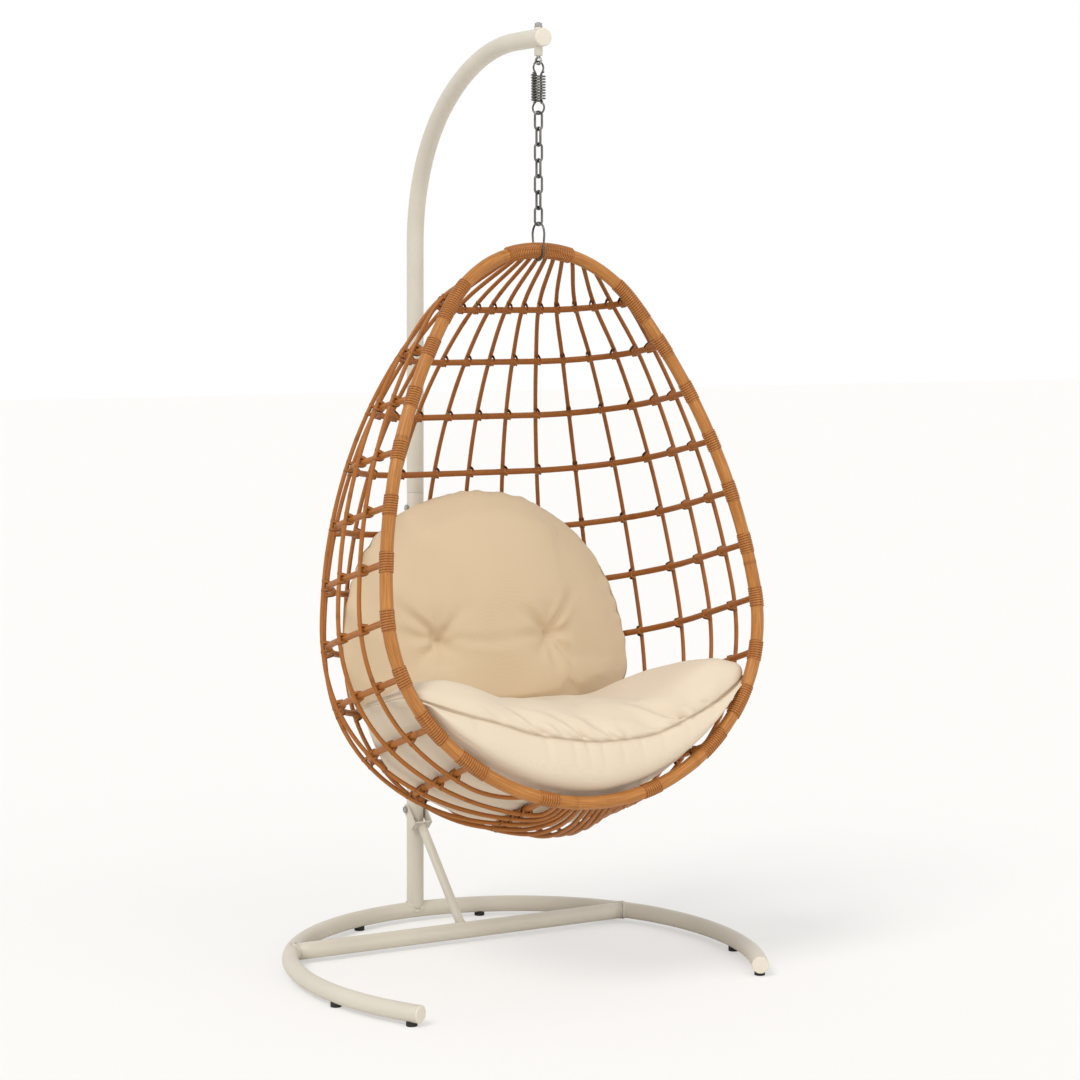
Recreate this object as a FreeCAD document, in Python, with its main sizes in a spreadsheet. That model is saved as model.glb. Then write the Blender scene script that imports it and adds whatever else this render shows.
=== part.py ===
"""Hanging egg chair: a rattan basket on a chain and a drawbar spring, hung from a bent steel stand.

The stand frame has +Z up, +Y to the back and z = 0 on the floor. The sitter faces -Y. Lengths are
in millimetres and angles in degrees. Every node gets the same Placement, which brings the middle of
the chair's box to x = y = 0.
"""
import FreeCAD, Part
import math
import os
from FreeCAD import Placement, Rotation, Vector

SIZES = [
    ("clearance", 0.3, "gap between pieces that touch or run on each other"),
    ("path_sag", 0.5, "how far a bent tube's straight facets may leave its arc"),
    ("tube_sides", 16, "facets round a steel tube"),
    ("base_tube", 35, "diameter of the base ring's tube and of the cross bar"),
    ("base_back_radius", 470, "centreline radius of the base ring's back"),
    ("base_side_radius", 590, "centreline radius of the base ring's sides"),
    ("base_back_offset", 30, "back arc's centre behind the side arcs' centres"),
    ("base_end_reach", 300, "ring ends in front of the side arcs' centres"),
    ("cross_bar_behind", 268, "cross bar behind the side arcs' centres"),
    ("end_cap_thick", 4, "plastic plug's rim on the ring's ends"),
    ("foot_height", 7, "ring's underside above the floor"),
    ("foot_diameter", 22, "rubber foot"),
    ("foot_saddle", 3, "how far a foot hugs the ring"),
    ("foot_from_end", 18, "end foot from the ring's end, along the tube"),
    ("side_foot_front", 85, "side feet in front of the side arcs' centres"),
    ("back_foot_side", 150, "back feet to each side of the post"),
    ("post_tube", 38, "diameter of the post and of the arm"),
    ("post_joint_height", 960, "height of the joint between post and arm"),
    ("spigot_diameter", 33, "arm's swaged end"),
    ("spigot_length", 70, "how far the arm's end sits in the post"),
    ("post_straight_top", 1519, "height where the arm starts to bend"),
    ("arm_lower_radius", 380, "radius of the first bend"),
    ("arm_lower_turn", 50, "turn of the first bend"),
    ("arm_upper_radius", 520, "radius of the second bend, which ends level"),
    ("arm_cap_dome", 5, "domed plug on the arm's end"),
    ("hanging_line", -66, "line of the chain, behind the side arcs' centres"),
    ("arm_past_chain", 18, "arm's end in front of the chain's line"),
    ("brace_tube", 20, "diameter of the brace"),
    ("brace_bolt_height", 250, "height of the brace's bolt through the post"),
    ("bracket_plate", 3, "thickness of the brace bracket"),
    ("bracket_width", 24, "width of the bracket's cheeks"),
    ("bracket_reach", 43, "bolt to the bracket's base plate"),
    ("bolt_diameter", 8, "brace bolt, joint bolt and shank of the eye bolt"),
    ("bolt_head", 13, "diameter of the bolt heads and cap nuts"),
    ("head_height", 5, "height of the bolt heads and cap nuts"),
    ("sleeve_diameter", 17.5, "sleeve that goes through the arm"),
    ("sleeve_below", 37, "sleeve's lower end below the arm's centreline"),
    ("sleeve_proud", 3, "sleeve's upper end above the arm"),
    ("washer_thick", 1.6, "washer under the top nut"),
    ("top_nut_flats", 13, "top nut across its flats"),
    ("top_nut_height", 6.5, "top nut"),
    ("bolt_proud", 2, "eye bolt's end above the top nut"),
    ("eye_wire", 5, "wire of the bolt's eye"),
    ("eye_radius", 7, "centreline radius of the eye"),
    ("eye_below", 17, "eye's lowest wire below the sleeve"),
    ("bar_wire", 4, "wire of the spring's two drawbars"),
    ("bar_span", 108.6, "upper drawbar's loop to lower drawbar's loop"),
    ("loop_half_width", 15.5, "half width of a drawbar's loop, on the wire's centre"),
    ("loop_height", 13, "half height of a drawbar's loop"),
    ("leg_offset", 8.6, "drawbar's leg from the spring's axis"),
    ("hook_reach", 15, "end of a leg's hook from the spring's axis"),
    ("spring_turn", 20, "spring turned about its axis"),
    ("coil_wire", 4, "wire of the coil"),
    ("coil_radius", 13.5, "mean radius of the coil"),
    ("coil_height", 54, "coil from its lowest to its highest wire centre"),
    ("coil_turns", 9.5, "turns of the coil"),
    ("link_wire", 4.6, "wire of a chain link"),
    ("link_length", 33.9, "clear length inside a link"),
    ("wire_gap", 1.2, "gap where one bent wire hangs in another"),
    ("link_width", 21, "width over a link"),
    ("link_count", 7, "links in the chain"),
    ("hanger_wire", 4.5, "wire of the hanger round the pole"),
    ("hanger_radius", 24.5, "radius of the hanger's upper bow"),
    ("hanger_drop", 57.7, "hanger's highest wire centre to the pole's centre"),
    ("pole", 27, "diameter of the hoop's rattan pole"),
    ("binding", 34, "diameter over the binding on top of the hoop"),
    ("binding_half", 75, "half length of that binding along the pole"),
    ("hoop_tilt", 13, "hoop leans forward at its bottom"),
    ("hoop_top_radius", 260, "hoop's top bow"),
    ("hoop_top_turn", 54.6, "half turn of the top bow"),
    ("hoop_side_radius", 1169, "hoop's sides"),
    ("hoop_side_turn", 31.9, "turn of a side"),
    ("hoop_corner_radius", 357, "hoop's lower corners"),
    ("hoop_corner_turn", 46.2, "turn of a lower corner"),
    ("bowl_start", 38.4, "bowl's profile falls this steeply behind the hoop's top"),
    ("bowl_upper_radius", 838, "upper part of the bowl's profile"),
    ("bowl_upper_turn", 35.8, "its turn"),
    ("bowl_back_radius", 1029, "back of the bowl's profile"),
    ("bowl_back_turn", 27.2, "its turn"),
    ("ring_rod", 13, "diameter of the rings' rods"),
    ("first_ring", 245, "first ring from the hoop's top, along the pole"),
    ("ring_spacing", 113, "next rings, along the pole"),
    ("last_ring", 120, "last ring from the hoop's bottom, along the pole"),
    ("ring_count", 11, "rings, the last one under the seat included"),
    ("ring_slope", -7.25, "ring's fall from the hoop's normal, at the hoop's top"),
    ("ring_slope_gain", 13.82, "more fall for each metre down the hoop"),
    ("ring_corner", 0.62, "corner radius of a ring, as a share of its half width"),
    ("rib_rod", 9, "diameter of the ribs' rods"),
    ("crossing_gap", 0.6, "rib off a ring where they cross"),
    ("rib_top_spacing", 17.3, "ribs' ends under the top binding, along the pole"),
    ("rib_fan", 0.008, "how fast that spacing grows away from the middle"),
    ("rib_bottom_spacing", 15, "ribs' ends along the hoop's bottom"),
    ("outer_rib_bottom", 142, "outermost ribs' ends from the hoop's bottom"),
    ("seat_gap", 0.3, "cushions off the rings' inner side"),
    ("ring_edge", 0.9, "a ring's facets stand this far into the bowl where its slope turns"),
    ("tuft_side", 130, "back cushion's tufts from its middle"),
    ("tuft_along", 895, "their level, along the pole"),
    ("tuft_depth", 26, "how deep a tuft pulls the cushion in"),
    ("tuft_reach", 34, "radius of a tuft's hollow"),
]

# Rows of the seat cushion: length down the pole, how far its back and its flanks stay off the bowl, front bulge
SEAT_LEVELS = ((1400, 50, 50, -30), (1350, 24, 24, 0), (1280, 0, 17, 14), (1205, 0, 13, 20),
               (1140, 6, 16, 16), (1095, 18, 28, 4), (1062, 54, 64, -34), (1040, 114, 124, -90))

# Rows of the back cushion: length down the pole, half width round the bowl, thickness
BACK_LEVELS = ((622, 60, 20), (636, 115, 62), (662, 172, 100), (705, 225, 130), (775, 282, 150), (850, 322, 158),
               (895, 338, 158), (940, 346, 154), (985, 338, 136), (1012, 300, 100), (1030, 240, 50))

doc = FreeCAD.newDocument("hanging_egg_chair")
sheet = doc.addObject("Spreadsheet::Sheet", "sizes")
for row, (alias, value, note) in enumerate(SIZES, start=1):
    sheet.set(f"A{row}", note)
    sheet.set(f"B{row}", str(value))
    sheet.setAlias(f"B{row}", alias)
doc.recompute()


def size(alias):
    """Value of one named size."""
    return float(sheet.get(alias))


X = Vector(1, 0, 0)
Y = Vector(0, 1, 0)
Z = Vector(0, 0, 1)
GAP = size("clearance")
HANG_Y = size("hanging_line")
RIB_HALF = 7


def unit(vector):
    """Copy of a vector with length 1."""
    return Vector(vector).normalize()


def sine(degrees):
    return math.sin(math.radians(degrees))


def cosine(degrees):
    return math.cos(math.radians(degrees))


def polygon(centre, across, normal, binormal, sides):
    """Corners of a regular polygon, across its flats, with one flat facing the normal."""
    radius = across / 2 / cosine(180 / sides)
    corners = []
    for index in range(sides):
        angle = (index + 0.5) * 360 / sides
        corners.append(centre + normal * (radius * cosine(angle)) + binormal * (radius * sine(angle)))
    return corners


def facets(a, b, c, d):
    """One flat face through four corners, or two triangles where they lie in no plane."""
    if abs((b - a).cross(d - a).dot(c - a)) < 1e-6:
        return [Part.Face(Part.makePolygon([a, b, c, d, a]))]
    return [Part.Face(Part.makePolygon([a, b, c, a])), Part.Face(Part.makePolygon([a, c, d, a]))]


def faceted_solid(outlines, closed=False):
    """Closed solid through outlines with equal numbers of corners."""
    faces = []
    count = len(outlines[0])
    pairs = list(zip(outlines, outlines[1:]))
    if closed:
        pairs.append((outlines[-1], outlines[0]))
    for lower, upper in pairs:
        for index in range(count):
            following = (index + 1) % count
            faces += facets(lower[index], lower[following], upper[following], upper[index])
    if not closed:
        for outline in (outlines[0], outlines[-1]):
            faces.append(Part.Face(Part.makePolygon(outline + outline[:1])))
    shell = Part.makeShell(faces)
    shell.sewShape()
    solid = Part.makeSolid(shell)
    if solid.Volume < 0:
        solid.reverse()
    return solid


def rod(points, normals, across, sides=6, closed=False):
    """Straight pieces of a polygonal rod through the points, mitred where they meet."""
    count = len(points)
    rings = []
    for index, point in enumerate(points):
        before = points[index - 1] if index or closed else None
        after = points[(index + 1) % count] if index + 1 < count or closed else None
        arriving = unit(point - before) if before is not None else unit(after - point)
        leaving = unit(after - point) if after is not None else arriving
        tangent = unit(arriving + leaving)
        normal = unit(normals[index] - tangent * normals[index].dot(tangent))
        corners = polygon(point, across, normal, tangent.cross(normal), sides)
        bend = leaving - arriving
        if bend.Length > 1e-6:
            inward = unit(bend)
            stretch = 1 / tangent.dot(leaving) - 1
            corners = [corner + inward * ((corner - point).dot(inward) * stretch) for corner in corners]
        rings.append(corners)
    return faceted_solid(rings, closed)


def sampled(edges, closed=False):
    """Points along tangent lines and arcs, close enough that no chord leaves its arc by more than the sag."""
    points = []
    for edge in edges:
        steps = 1
        if not isinstance(edge.Curve, Part.Line):
            radius = edge.Curve.Radius
            widest = 2 * math.acos(1 - size("path_sag") / radius)
            steps = math.ceil(edge.Length / radius / widest)
        first, last = edge.FirstParameter, edge.LastParameter
        points += [edge.valueAt(first + (last - first) * step / steps) for step in range(steps)]
    if not closed:
        points.append(edges[-1].valueAt(edges[-1].LastParameter))
    return points


def tube(edges, across, normal, sides, closed=False):
    """Many-sided bar along tangent lines and arcs that all lie square to the normal."""
    points = sampled(edges, closed)
    return rod(points, [normal] * len(points), across, sides, closed)


def prism(across, start, end, sides):
    """Straight many-sided bar between two points."""
    return rod([start, end], [unit((end - start).cross(X + Y))] * 2, across, sides)


def polyline_normals(points, side):
    """Normals in the plane of a flat rod, whose plane stands square to the side vector."""
    normals = []
    for index in range(len(points)):
        before = points[max(index - 1, 0)]
        after = points[min(index + 1, len(points) - 1)]
        normals.append(unit(after - before).cross(side))
    return normals


def primitive(kind, name, base, direction, side, **bound):
    """Part primitive that starts at a place and runs in a direction; expressions bind its sizes to the sheet."""
    item = doc.addObject(f"Part::{kind}", name)
    item.Placement = SHIFT.multiply(Placement(base, Rotation(side, Vector(), direction, "ZXY")))
    for key, expression in bound.items():
        item.setExpression(key, expression)
    return item


def round_bar(name, base, direction, diameter, length):
    """Cylinder whose diameter and length are expressions."""
    side = X if abs(direction.x) < 0.9 else Y
    return primitive("Cylinder", name, base, direction, side, Radius=f"({diameter}) / 2", Height=length)


def sided_bar(name, base, direction, side, sides, across, length):
    """Prism with one corner to the side; its size across the flats and its length are expressions."""
    reach = f"({across}) / 2 / cos(180 deg / {sides})"
    item = primitive("Prism", name, base, direction, side, Circumradius=reach, Height=length)
    item.Polygon = sides
    return item


def cut(name, base, *tools):
    """First object less the others."""
    item = doc.addObject("Part::Cut", name)
    item.Base = base
    item.Tool = tools[0] if len(tools) == 1 else fuse(f"{name}_tools", *tools)
    return item


def fuse(name, *pieces):
    item = doc.addObject("Part::MultiFuse", name)
    item.Shapes = pieces
    return item


# Stand

BASE_Z = size("foot_height") + size("base_tube") / 2


def base_ring_path():
    """Centreline of the ring: a back arc and two wider side arcs that run on from it."""
    back_radius = size("base_back_radius")
    side_radius = size("base_side_radius")
    offset = size("base_back_offset")
    shift = math.sqrt((side_radius - back_radius) ** 2 - offset ** 2)
    meet = math.degrees(math.atan2(offset, shift))
    end = -math.degrees(math.asin(size("base_end_reach") / side_radius))

    def side_point(hand, angle):
        return Vector(hand * (side_radius * cosine(angle) - shift), side_radius * sine(angle), BASE_Z)

    left = Part.Arc(side_point(-1, end), side_point(-1, (end + meet) / 2), side_point(-1, meet))
    back = Part.Arc(side_point(-1, meet), Vector(0, offset + back_radius, BASE_Z), side_point(1, meet))
    right = Part.Arc(side_point(1, meet), side_point(1, (end + meet) / 2), side_point(1, end))
    return [left.toShape(), back.toShape(), right.toShape()]


RING_PATH = base_ring_path()
BACK_Y = size("base_back_offset") + size("base_back_radius")


def ring_place(from_end):
    """Point and direction on the right side arc, a given length from the ring's end."""
    edge = RING_PATH[-1]
    parameter = edge.getParameterByLength(edge.Length - from_end)
    return edge.valueAt(parameter), edge.tangentAt(parameter)


TUBE_SIDES = int(size("tube_sides"))


def domed_plug(diameter, height, point, direction):
    """Plug whose outer edge is taken back in two steps."""
    normal = unit(direction.cross(Z if abs(direction.z) < 0.9 else X))
    outlines = []
    for share, drawn_in in ((0, 0), (0.4, 0), (0.7, 0.25), (1, 1)):
        centre = point + direction * (height * share)
        across = diameter - 2 * height * drawn_in
        outlines.append(polygon(centre, across, normal, direction.cross(normal), TUBE_SIDES))
    return faceted_solid(outlines)


def make_base_ring():
    return tube(RING_PATH, size("base_tube"), Z, TUBE_SIDES)


def make_ring_end_caps():
    """Two plugs with a rounded rim on the ring's ends."""
    before, point = sampled(RING_PATH)[-2:]
    direction = unit(point - before)
    thick = size("end_cap_thick")
    cap = domed_plug(size("base_tube"), thick, point + direction * GAP, direction)
    return Part.Compound([cap, cap.mirror(Vector(), X)])


def make_rubber_feet(base_ring):
    """Six short feet whose tops are hollowed to the ring."""
    end_foot, _ = ring_place(size("foot_from_end"))
    front = size("side_foot_front")
    side_radius = size("base_side_radius")
    shift = math.sqrt((side_radius - size("base_back_radius")) ** 2 - size("base_back_offset") ** 2)
    side_x = math.sqrt(side_radius ** 2 - front ** 2) - shift
    back_x = size("back_foot_side")
    back_y = size("base_back_offset") + math.sqrt(size("base_back_radius") ** 2 - back_x ** 2)
    feet = []
    for place, x, y in (("end", end_foot.x, end_foot.y), ("side", side_x, -front), ("back", back_x, back_y)):
        for hand, reach in (("right", x), ("left", -x)):
            name = f"{place}_foot_{hand}"
            stock = sided_bar(f"{name}_stock", Vector(reach, y, 0), Z, X, TUBE_SIDES, "sizes.foot_diameter",
                              "sizes.foot_height + sizes.foot_saddle")
            feet.append(cut(name, stock, base_ring))
    group = doc.addObject("Part::Compound", "rubber_feet")
    group.Links = feet
    return group


def make_cross_bar(base_ring):
    """Straight tube whose ends are coped to the ring."""
    y = size("cross_bar_behind")
    reach = math.sqrt(size("base_back_radius") ** 2 - (y - size("base_back_offset")) ** 2) - 2 * GAP
    length = ("2 * sqrt(sizes.base_back_radius ^ 2 - (sizes.cross_bar_behind - sizes.base_back_offset) ^ 2)"
              " - 4 * sizes.clearance")
    stock = round_bar("cross_bar_stock", Vector(-reach, y, BASE_Z), X, "sizes.base_tube", length)
    return cut("cross_bar", stock, base_ring)


JOINT_Z = size("post_joint_height")
JOINT_BOLT_Z = JOINT_Z - size("spigot_length") / 2
BRACE_Z = size("brace_bolt_height")
BOLT_HOLE = size("bolt_diameter") + 2 * GAP
BOLT_HOLE_SIZE = "sizes.bolt_diameter + 2 * sizes.clearance"
HOLE_SIDES = 12


def side_hole(name, height):
    """Bar that bores a hole for a bolt through the post from side to side."""
    start = Vector(-size("post_tube"), BACK_Y, height)
    return sided_bar(name, start, X, Z, HOLE_SIDES, BOLT_HOLE_SIZE, "2 * sizes.post_tube")


def make_lower_post(base_ring):
    """Post coped to the ring, with a socket for the arm and holes for two bolts."""
    foot = Vector(0, BACK_Y, BASE_Z + size("base_tube") / 3)
    stock = round_bar("post_stock", foot, Z, "sizes.post_tube",
                      "sizes.post_joint_height - sizes.foot_height - sizes.base_tube * 5 / 6")
    floor = Vector(0, BACK_Y, JOINT_Z - size("spigot_length") - GAP)
    socket = round_bar("post_socket", floor, Z, "sizes.spigot_diameter + 2 * sizes.clearance",
                       "2 * sizes.spigot_length")
    coped = cut("coped_post", stock, base_ring)
    return cut("lower_post", coped, socket, side_hole("brace_hole", BRACE_Z), side_hole("joint_hole", JOINT_BOLT_Z))


def arm_level():
    """Height of the arm's level end and the place where it gets level."""
    lower = size("arm_lower_radius")
    upper = size("arm_upper_radius")
    turn = size("arm_lower_turn")
    height = size("post_straight_top") + lower * sine(turn) + upper * (1 - sine(turn))
    level_y = BACK_Y - lower * (1 - cosine(turn)) - upper * cosine(turn)
    return height, level_y


ARM_Z, ARM_LEVEL_Y = arm_level()
ARM_END_Y = HANG_Y - size("arm_past_chain")


def make_upper_arm():
    """Arm: a straight, two bends and a short level end, with a swaged spigot below."""
    lower = size("arm_lower_radius")
    upper = size("arm_upper_radius")
    turn = size("arm_lower_turn")
    bend_z = size("post_straight_top")
    start = Vector(0, BACK_Y, JOINT_Z + GAP)
    bend = Vector(0, BACK_Y, bend_z)

    def lower_point(angle):
        return Vector(0, BACK_Y - lower * (1 - cosine(angle)), bend_z + lower * sine(angle))

    def upper_point(angle):
        return Vector(0, ARM_LEVEL_Y + upper * cosine(angle), ARM_Z - upper * (1 - sine(angle)))

    middle = lower_point(turn)
    level = upper_point(90)
    edges = [
        Part.LineSegment(start, bend).toShape(),
        Part.Arc(bend, lower_point(turn / 2), middle).toShape(),
        Part.Arc(middle, upper_point((turn + 90) / 2), level).toShape(),
        Part.LineSegment(level, Vector(0, ARM_END_Y, ARM_Z)).toShape(),
    ]
    arm = tube(edges, size("post_tube"), X, TUBE_SIDES)
    spigot_end = start - Z * (size("spigot_length") + GAP)
    spigot = Part.makeCylinder(size("spigot_diameter") / 2, (start - spigot_end).Length, spigot_end)
    arm = arm.fuse(spigot)
    hole_start = Vector(-size("post_tube"), BACK_Y, JOINT_BOLT_Z)
    arm = arm.cut(prism(BOLT_HOLE, hole_start, hole_start + X * (2 * size("post_tube")), HOLE_SIDES))
    sleeve_hole = size("sleeve_diameter") + 2 * GAP
    drop = Z * size("post_tube")
    centre = Vector(0, HANG_Y, ARM_Z)
    return arm.cut(prism(sleeve_hole, centre - drop, centre + drop, TUBE_SIDES))


def make_arm_end_cap():
    """Domed plug on the arm's end."""
    dome = size("arm_cap_dome")
    start = Vector(0, ARM_END_Y - GAP, ARM_Z)
    return domed_plug(size("post_tube"), dome, start, -Y)


def make_bolt_and_nut(where, height, half_seat, seat):
    """Bolt through the post with its head on +X and its cap nut on -X, where they bear; seat is an expression."""
    left = Vector(-half_seat - GAP, BACK_Y, height)
    right = Vector(half_seat + GAP, BACK_Y, height)
    in_nut = X * (size("head_height") / 2)
    head = sided_bar(f"{where}_head", right, X, Z, 6, "sizes.bolt_head", "sizes.head_height")
    shank = round_bar(f"{where}_shank", left - in_nut, X, "sizes.bolt_diameter",
                      f"2 * ({seat} + sizes.clearance) + sizes.head_height / 2")
    bolt = fuse(f"{where}_bolt", head, shank)
    stock = sided_bar(f"{where}_nut_stock", left, -X, Z, 6, "sizes.bolt_head", "sizes.head_height")
    bore = round_bar(f"{where}_nut_bore", left - in_nut - X * GAP, X, BOLT_HOLE_SIZE, "sizes.head_height")
    return bolt, cut(f"{where}_nut", stock, bore)


CHEEK_X = size("post_tube") / 2 + GAP
BRACE_FOOT = Vector(0, size("cross_bar_behind"), BASE_Z)
BRACE_TOP = Vector(0, BACK_Y, BRACE_Z)
BRACE_ALONG = unit(BRACE_FOOT - BRACE_TOP)


def make_brace_bracket():
    """Bent strap: two cheeks round the post with rounded ends and a plate that carries the brace."""
    plate = size("bracket_plate")
    width = size("bracket_width")
    outer = "sizes.post_tube + 2 * (sizes.clearance + sizes.bracket_plate)"
    down = BRACE_ALONG.cross(X)

    def corner(x, across):
        return BRACE_TOP + X * x + down * across

    box = primitive("Box", "bracket_box", corner(-CHEEK_X - plate, -width / 2), BRACE_ALONG, X,
                    Length=outer, Width="sizes.bracket_width", Height="sizes.bracket_reach + sizes.bracket_plate")
    ends = round_bar("bracket_ends", BRACE_TOP - X * (CHEEK_X + plate), X, "sizes.bracket_width", outer)
    room = primitive("Box", "bracket_room", corner(-CHEEK_X, -width) - BRACE_ALONG * width, BRACE_ALONG, X,
                     Length="sizes.post_tube + 2 * sizes.clearance", Width="2 * sizes.bracket_width",
                     Height="sizes.bracket_reach + sizes.bracket_width")
    bore = round_bar("bracket_bore", BRACE_TOP - X * (2 * (CHEEK_X + plate)), X, BOLT_HOLE_SIZE, f"2 * ({outer})")
    return cut("brace_bracket", fuse("bracket_strap", box, ends), room, bore)


def make_brace(cross_bar):
    """Brace from the bracket's plate down to the cross bar, coped to the bar."""
    start = BRACE_TOP + BRACE_ALONG * (size("bracket_reach") + size("bracket_plate"))
    drop = "sizes.brace_bolt_height - sizes.foot_height - sizes.base_tube / 2"
    run = "sizes.base_back_offset + sizes.base_back_radius - sizes.cross_bar_behind"
    length = f"sqrt(({drop}) ^ 2 + ({run}) ^ 2) - sizes.bracket_reach - sizes.bracket_plate"
    stock = round_bar("brace_stock", start, BRACE_ALONG, "sizes.brace_tube", length)
    return cut("brace", stock, cross_bar)


# Hanging gear

SLEEVE_BOTTOM = ARM_Z - size("sleeve_below")
SLEEVE_TOP = ARM_Z + size("post_tube") / 2 + size("sleeve_proud")
EYE_Z = SLEEVE_BOTTOM - size("eye_below")
WIRE_GAP = size("wire_gap")
UPPER_LOOP_Z = EYE_Z + (size("eye_wire") + size("bar_wire")) / 2 + WIRE_GAP
LOWER_LOOP_Z = UPPER_LOOP_Z - size("bar_span")
SPRING_MIDDLE = (UPPER_LOOP_Z + LOWER_LOOP_Z) / 2
FIRST_LINK_Z = LOWER_LOOP_Z + (size("bar_wire") + size("link_wire")) / 2 + WIRE_GAP
LINK_PITCH = size("link_length") - WIRE_GAP
LINKS = int(size("link_count"))
HANGER_Z = FIRST_LINK_Z - LINK_PITCH * LINKS
HOOP_TOP_Z = HANGER_Z - size("hanger_drop")


def hang(x, y, z):
    """Point on the chain's line, moved by x and y."""
    return Vector(x, HANG_Y + y, z)


def turned(angle):
    """Level direction at an angle from +X."""
    return Vector(cosine(angle), sine(angle), 0)


def make_hanger_sleeve():
    """Sleeve through the arm that holds the eye bolt."""
    length = "sizes.sleeve_below + sizes.post_tube / 2 + sizes.sleeve_proud"
    stock = sided_bar("sleeve_stock", hang(0, 0, SLEEVE_BOTTOM), Z, X, TUBE_SIDES, "sizes.sleeve_diameter", length)
    bore = sided_bar("sleeve_bore", hang(0, 0, SLEEVE_BOTTOM - 1), Z, X, HOLE_SIDES, BOLT_HOLE_SIZE, f"{length} + 2")
    return cut("hanger_sleeve", stock, bore)


def make_eye_bolt():
    """Bolt down the sleeve that ends in a closed eye for the spring."""
    eye_centre = hang(0, 0, EYE_Z + size("eye_radius"))
    eye_side = turned(size("spring_turn") + 90)
    points = []
    for index in range(16):
        angle = 270 + index * 360 / 16
        points.append(eye_centre + (eye_side * cosine(angle) + Z * sine(angle)) * size("eye_radius"))
    normals = [unit(point - eye_centre) for point in points]
    eye = rod(points, normals, size("eye_wire"), 8, True)
    nut_top = SLEEVE_TOP + GAP + size("washer_thick") + GAP + size("top_nut_height")
    shank_start = eye_centre + Z * size("eye_radius")
    shank = Part.makeCylinder(size("bolt_diameter") / 2, nut_top + size("bolt_proud") - shank_start.z, shank_start)
    return eye.fuse(shank)


def make_top_washer():
    low = hang(0, 0, SLEEVE_TOP + GAP)
    stock = sided_bar("washer_stock", low, Z, X, TUBE_SIDES, "sizes.sleeve_diameter", "sizes.washer_thick")
    bore = sided_bar("washer_bore", low - Z, Z, X, HOLE_SIDES, BOLT_HOLE_SIZE, "sizes.washer_thick + 2")
    return cut("top_washer", stock, bore)


def make_top_nut():
    """Hexagon nut on the eye bolt."""
    low = hang(0, 0, SLEEVE_TOP + 2 * GAP + size("washer_thick"))
    stock = sided_bar("top_nut_stock", low, Z, Y, 6, "sizes.top_nut_flats", "sizes.top_nut_height")
    bore = round_bar("top_nut_bore", low - Z, Z, BOLT_HOLE_SIZE, "sizes.top_nut_height + 2")
    return cut("top_nut", stock, bore)


def drawbar(loop_z, far_z, angle):
    """U-shaped wire: a loop at one end, and two legs whose hooks hold the coil's far end."""
    side = turned(angle)
    toward = 1 if loop_z > far_z else -1
    half_height = size("loop_height")
    centre_z = loop_z - toward * half_height
    leg = size("leg_offset")
    hook = size("hook_reach")
    corner = size("bar_wire") / 2
    half = []
    for index in range(7):
        loop_angle = 90 - index * 22
        across = size("loop_half_width") * cosine(loop_angle)
        half.append((across, centre_z + toward * half_height * sine(loop_angle)))
    half.append((leg, centre_z - toward * half_height * 0.95))
    half.append((leg, far_z + toward * corner))
    half.append((leg + corner, far_z))
    half.append((hook, far_z))
    left = [hang(0, 0, z) - side * across for across, z in reversed(half[1:])]
    right = [hang(0, 0, z) + side * across for across, z in half]
    points = left + right
    across_plane = turned(angle + 90)
    return rod(points, polyline_normals(points, across_plane), size("bar_wire"), 6)


COIL_TOP = SPRING_MIDDLE + size("coil_height") / 2
COIL_BOTTOM = SPRING_MIDDLE - size("coil_height") / 2
HOOK_GAP = (size("coil_wire") + size("bar_wire")) / 2 + 2 * GAP


def make_spring_coil():
    """Coil as one unbroken wire; prints the least gap between its turns."""
    per_turn = 12
    count = int(round(size("coil_turns") * per_turn))
    radius = size("coil_radius")
    points = []
    normals = []
    for index in range(count + 1):
        angle = index * 360 / per_turn + size("spring_turn")
        points.append(hang(0, 0, COIL_BOTTOM + size("coil_height") * index / count) + turned(angle) * radius)
        normals.append(turned(angle))
    least = min((points[index + step] - points[index]).Length
                for step in range(per_turn - 2, per_turn + 3) for index in range(count + 1 - step))
    print(f"coil: least gap between turns {least - size('coil_wire'):.2f} mm")
    return rod(points, normals, size("coil_wire"))


def make_link(number):
    """Oval chain link; odd links lie in the XZ plane and even ones in the YZ plane."""
    wire = size("link_wire")
    side = X if number % 2 else Y
    top = FIRST_LINK_Z - LINK_PITCH * (number - 1)
    radius = (size("link_width") - wire) / 2
    straight = size("link_length") + wire - 2 * radius
    points = []
    normals = []
    for centre_z, first in ((top - radius, 0), (top - radius - straight, 180)):
        for step in range(7):
            outward = side * cosine(first + step * 30) + Z * sine(first + step * 30)
            points.append(hang(0, 0, centre_z) + outward * radius)
            normals.append(outward)
    return rod(points, normals, wire, 6, True)


POLE_SIDES = 12
BINDING_CORNER = size("binding") / 2 / cosine(180 / POLE_SIDES)
HANGER_LOW_RADIUS = (BINDING_CORNER + size("hanger_wire") / 2) / cosine(8) + GAP


def make_hanger_loop():
    """Pear-shaped wire loop round the pole, in the YZ plane."""
    high = size("hanger_radius")
    high_z = HANGER_Z - high
    tilt = math.degrees(math.asin((high - HANGER_LOW_RADIUS) / (high_z - HOOP_TOP_Z)))
    points = []
    normals = []
    for centre_z, radius, first, last in ((high_z, high, -tilt, 180 + tilt),
                                          (HOOP_TOP_Z, HANGER_LOW_RADIUS, 180 + tilt, 360 - tilt)):
        for step in range(13):
            angle = first + (last - first) * step / 12
            outward = Y * cosine(angle) + Z * sine(angle)
            points.append(hang(0, 0, centre_z) + outward * radius)
            normals.append(outward)
    return rod(points, normals, size("hanger_wire"), 6, True)


# Basket

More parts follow.
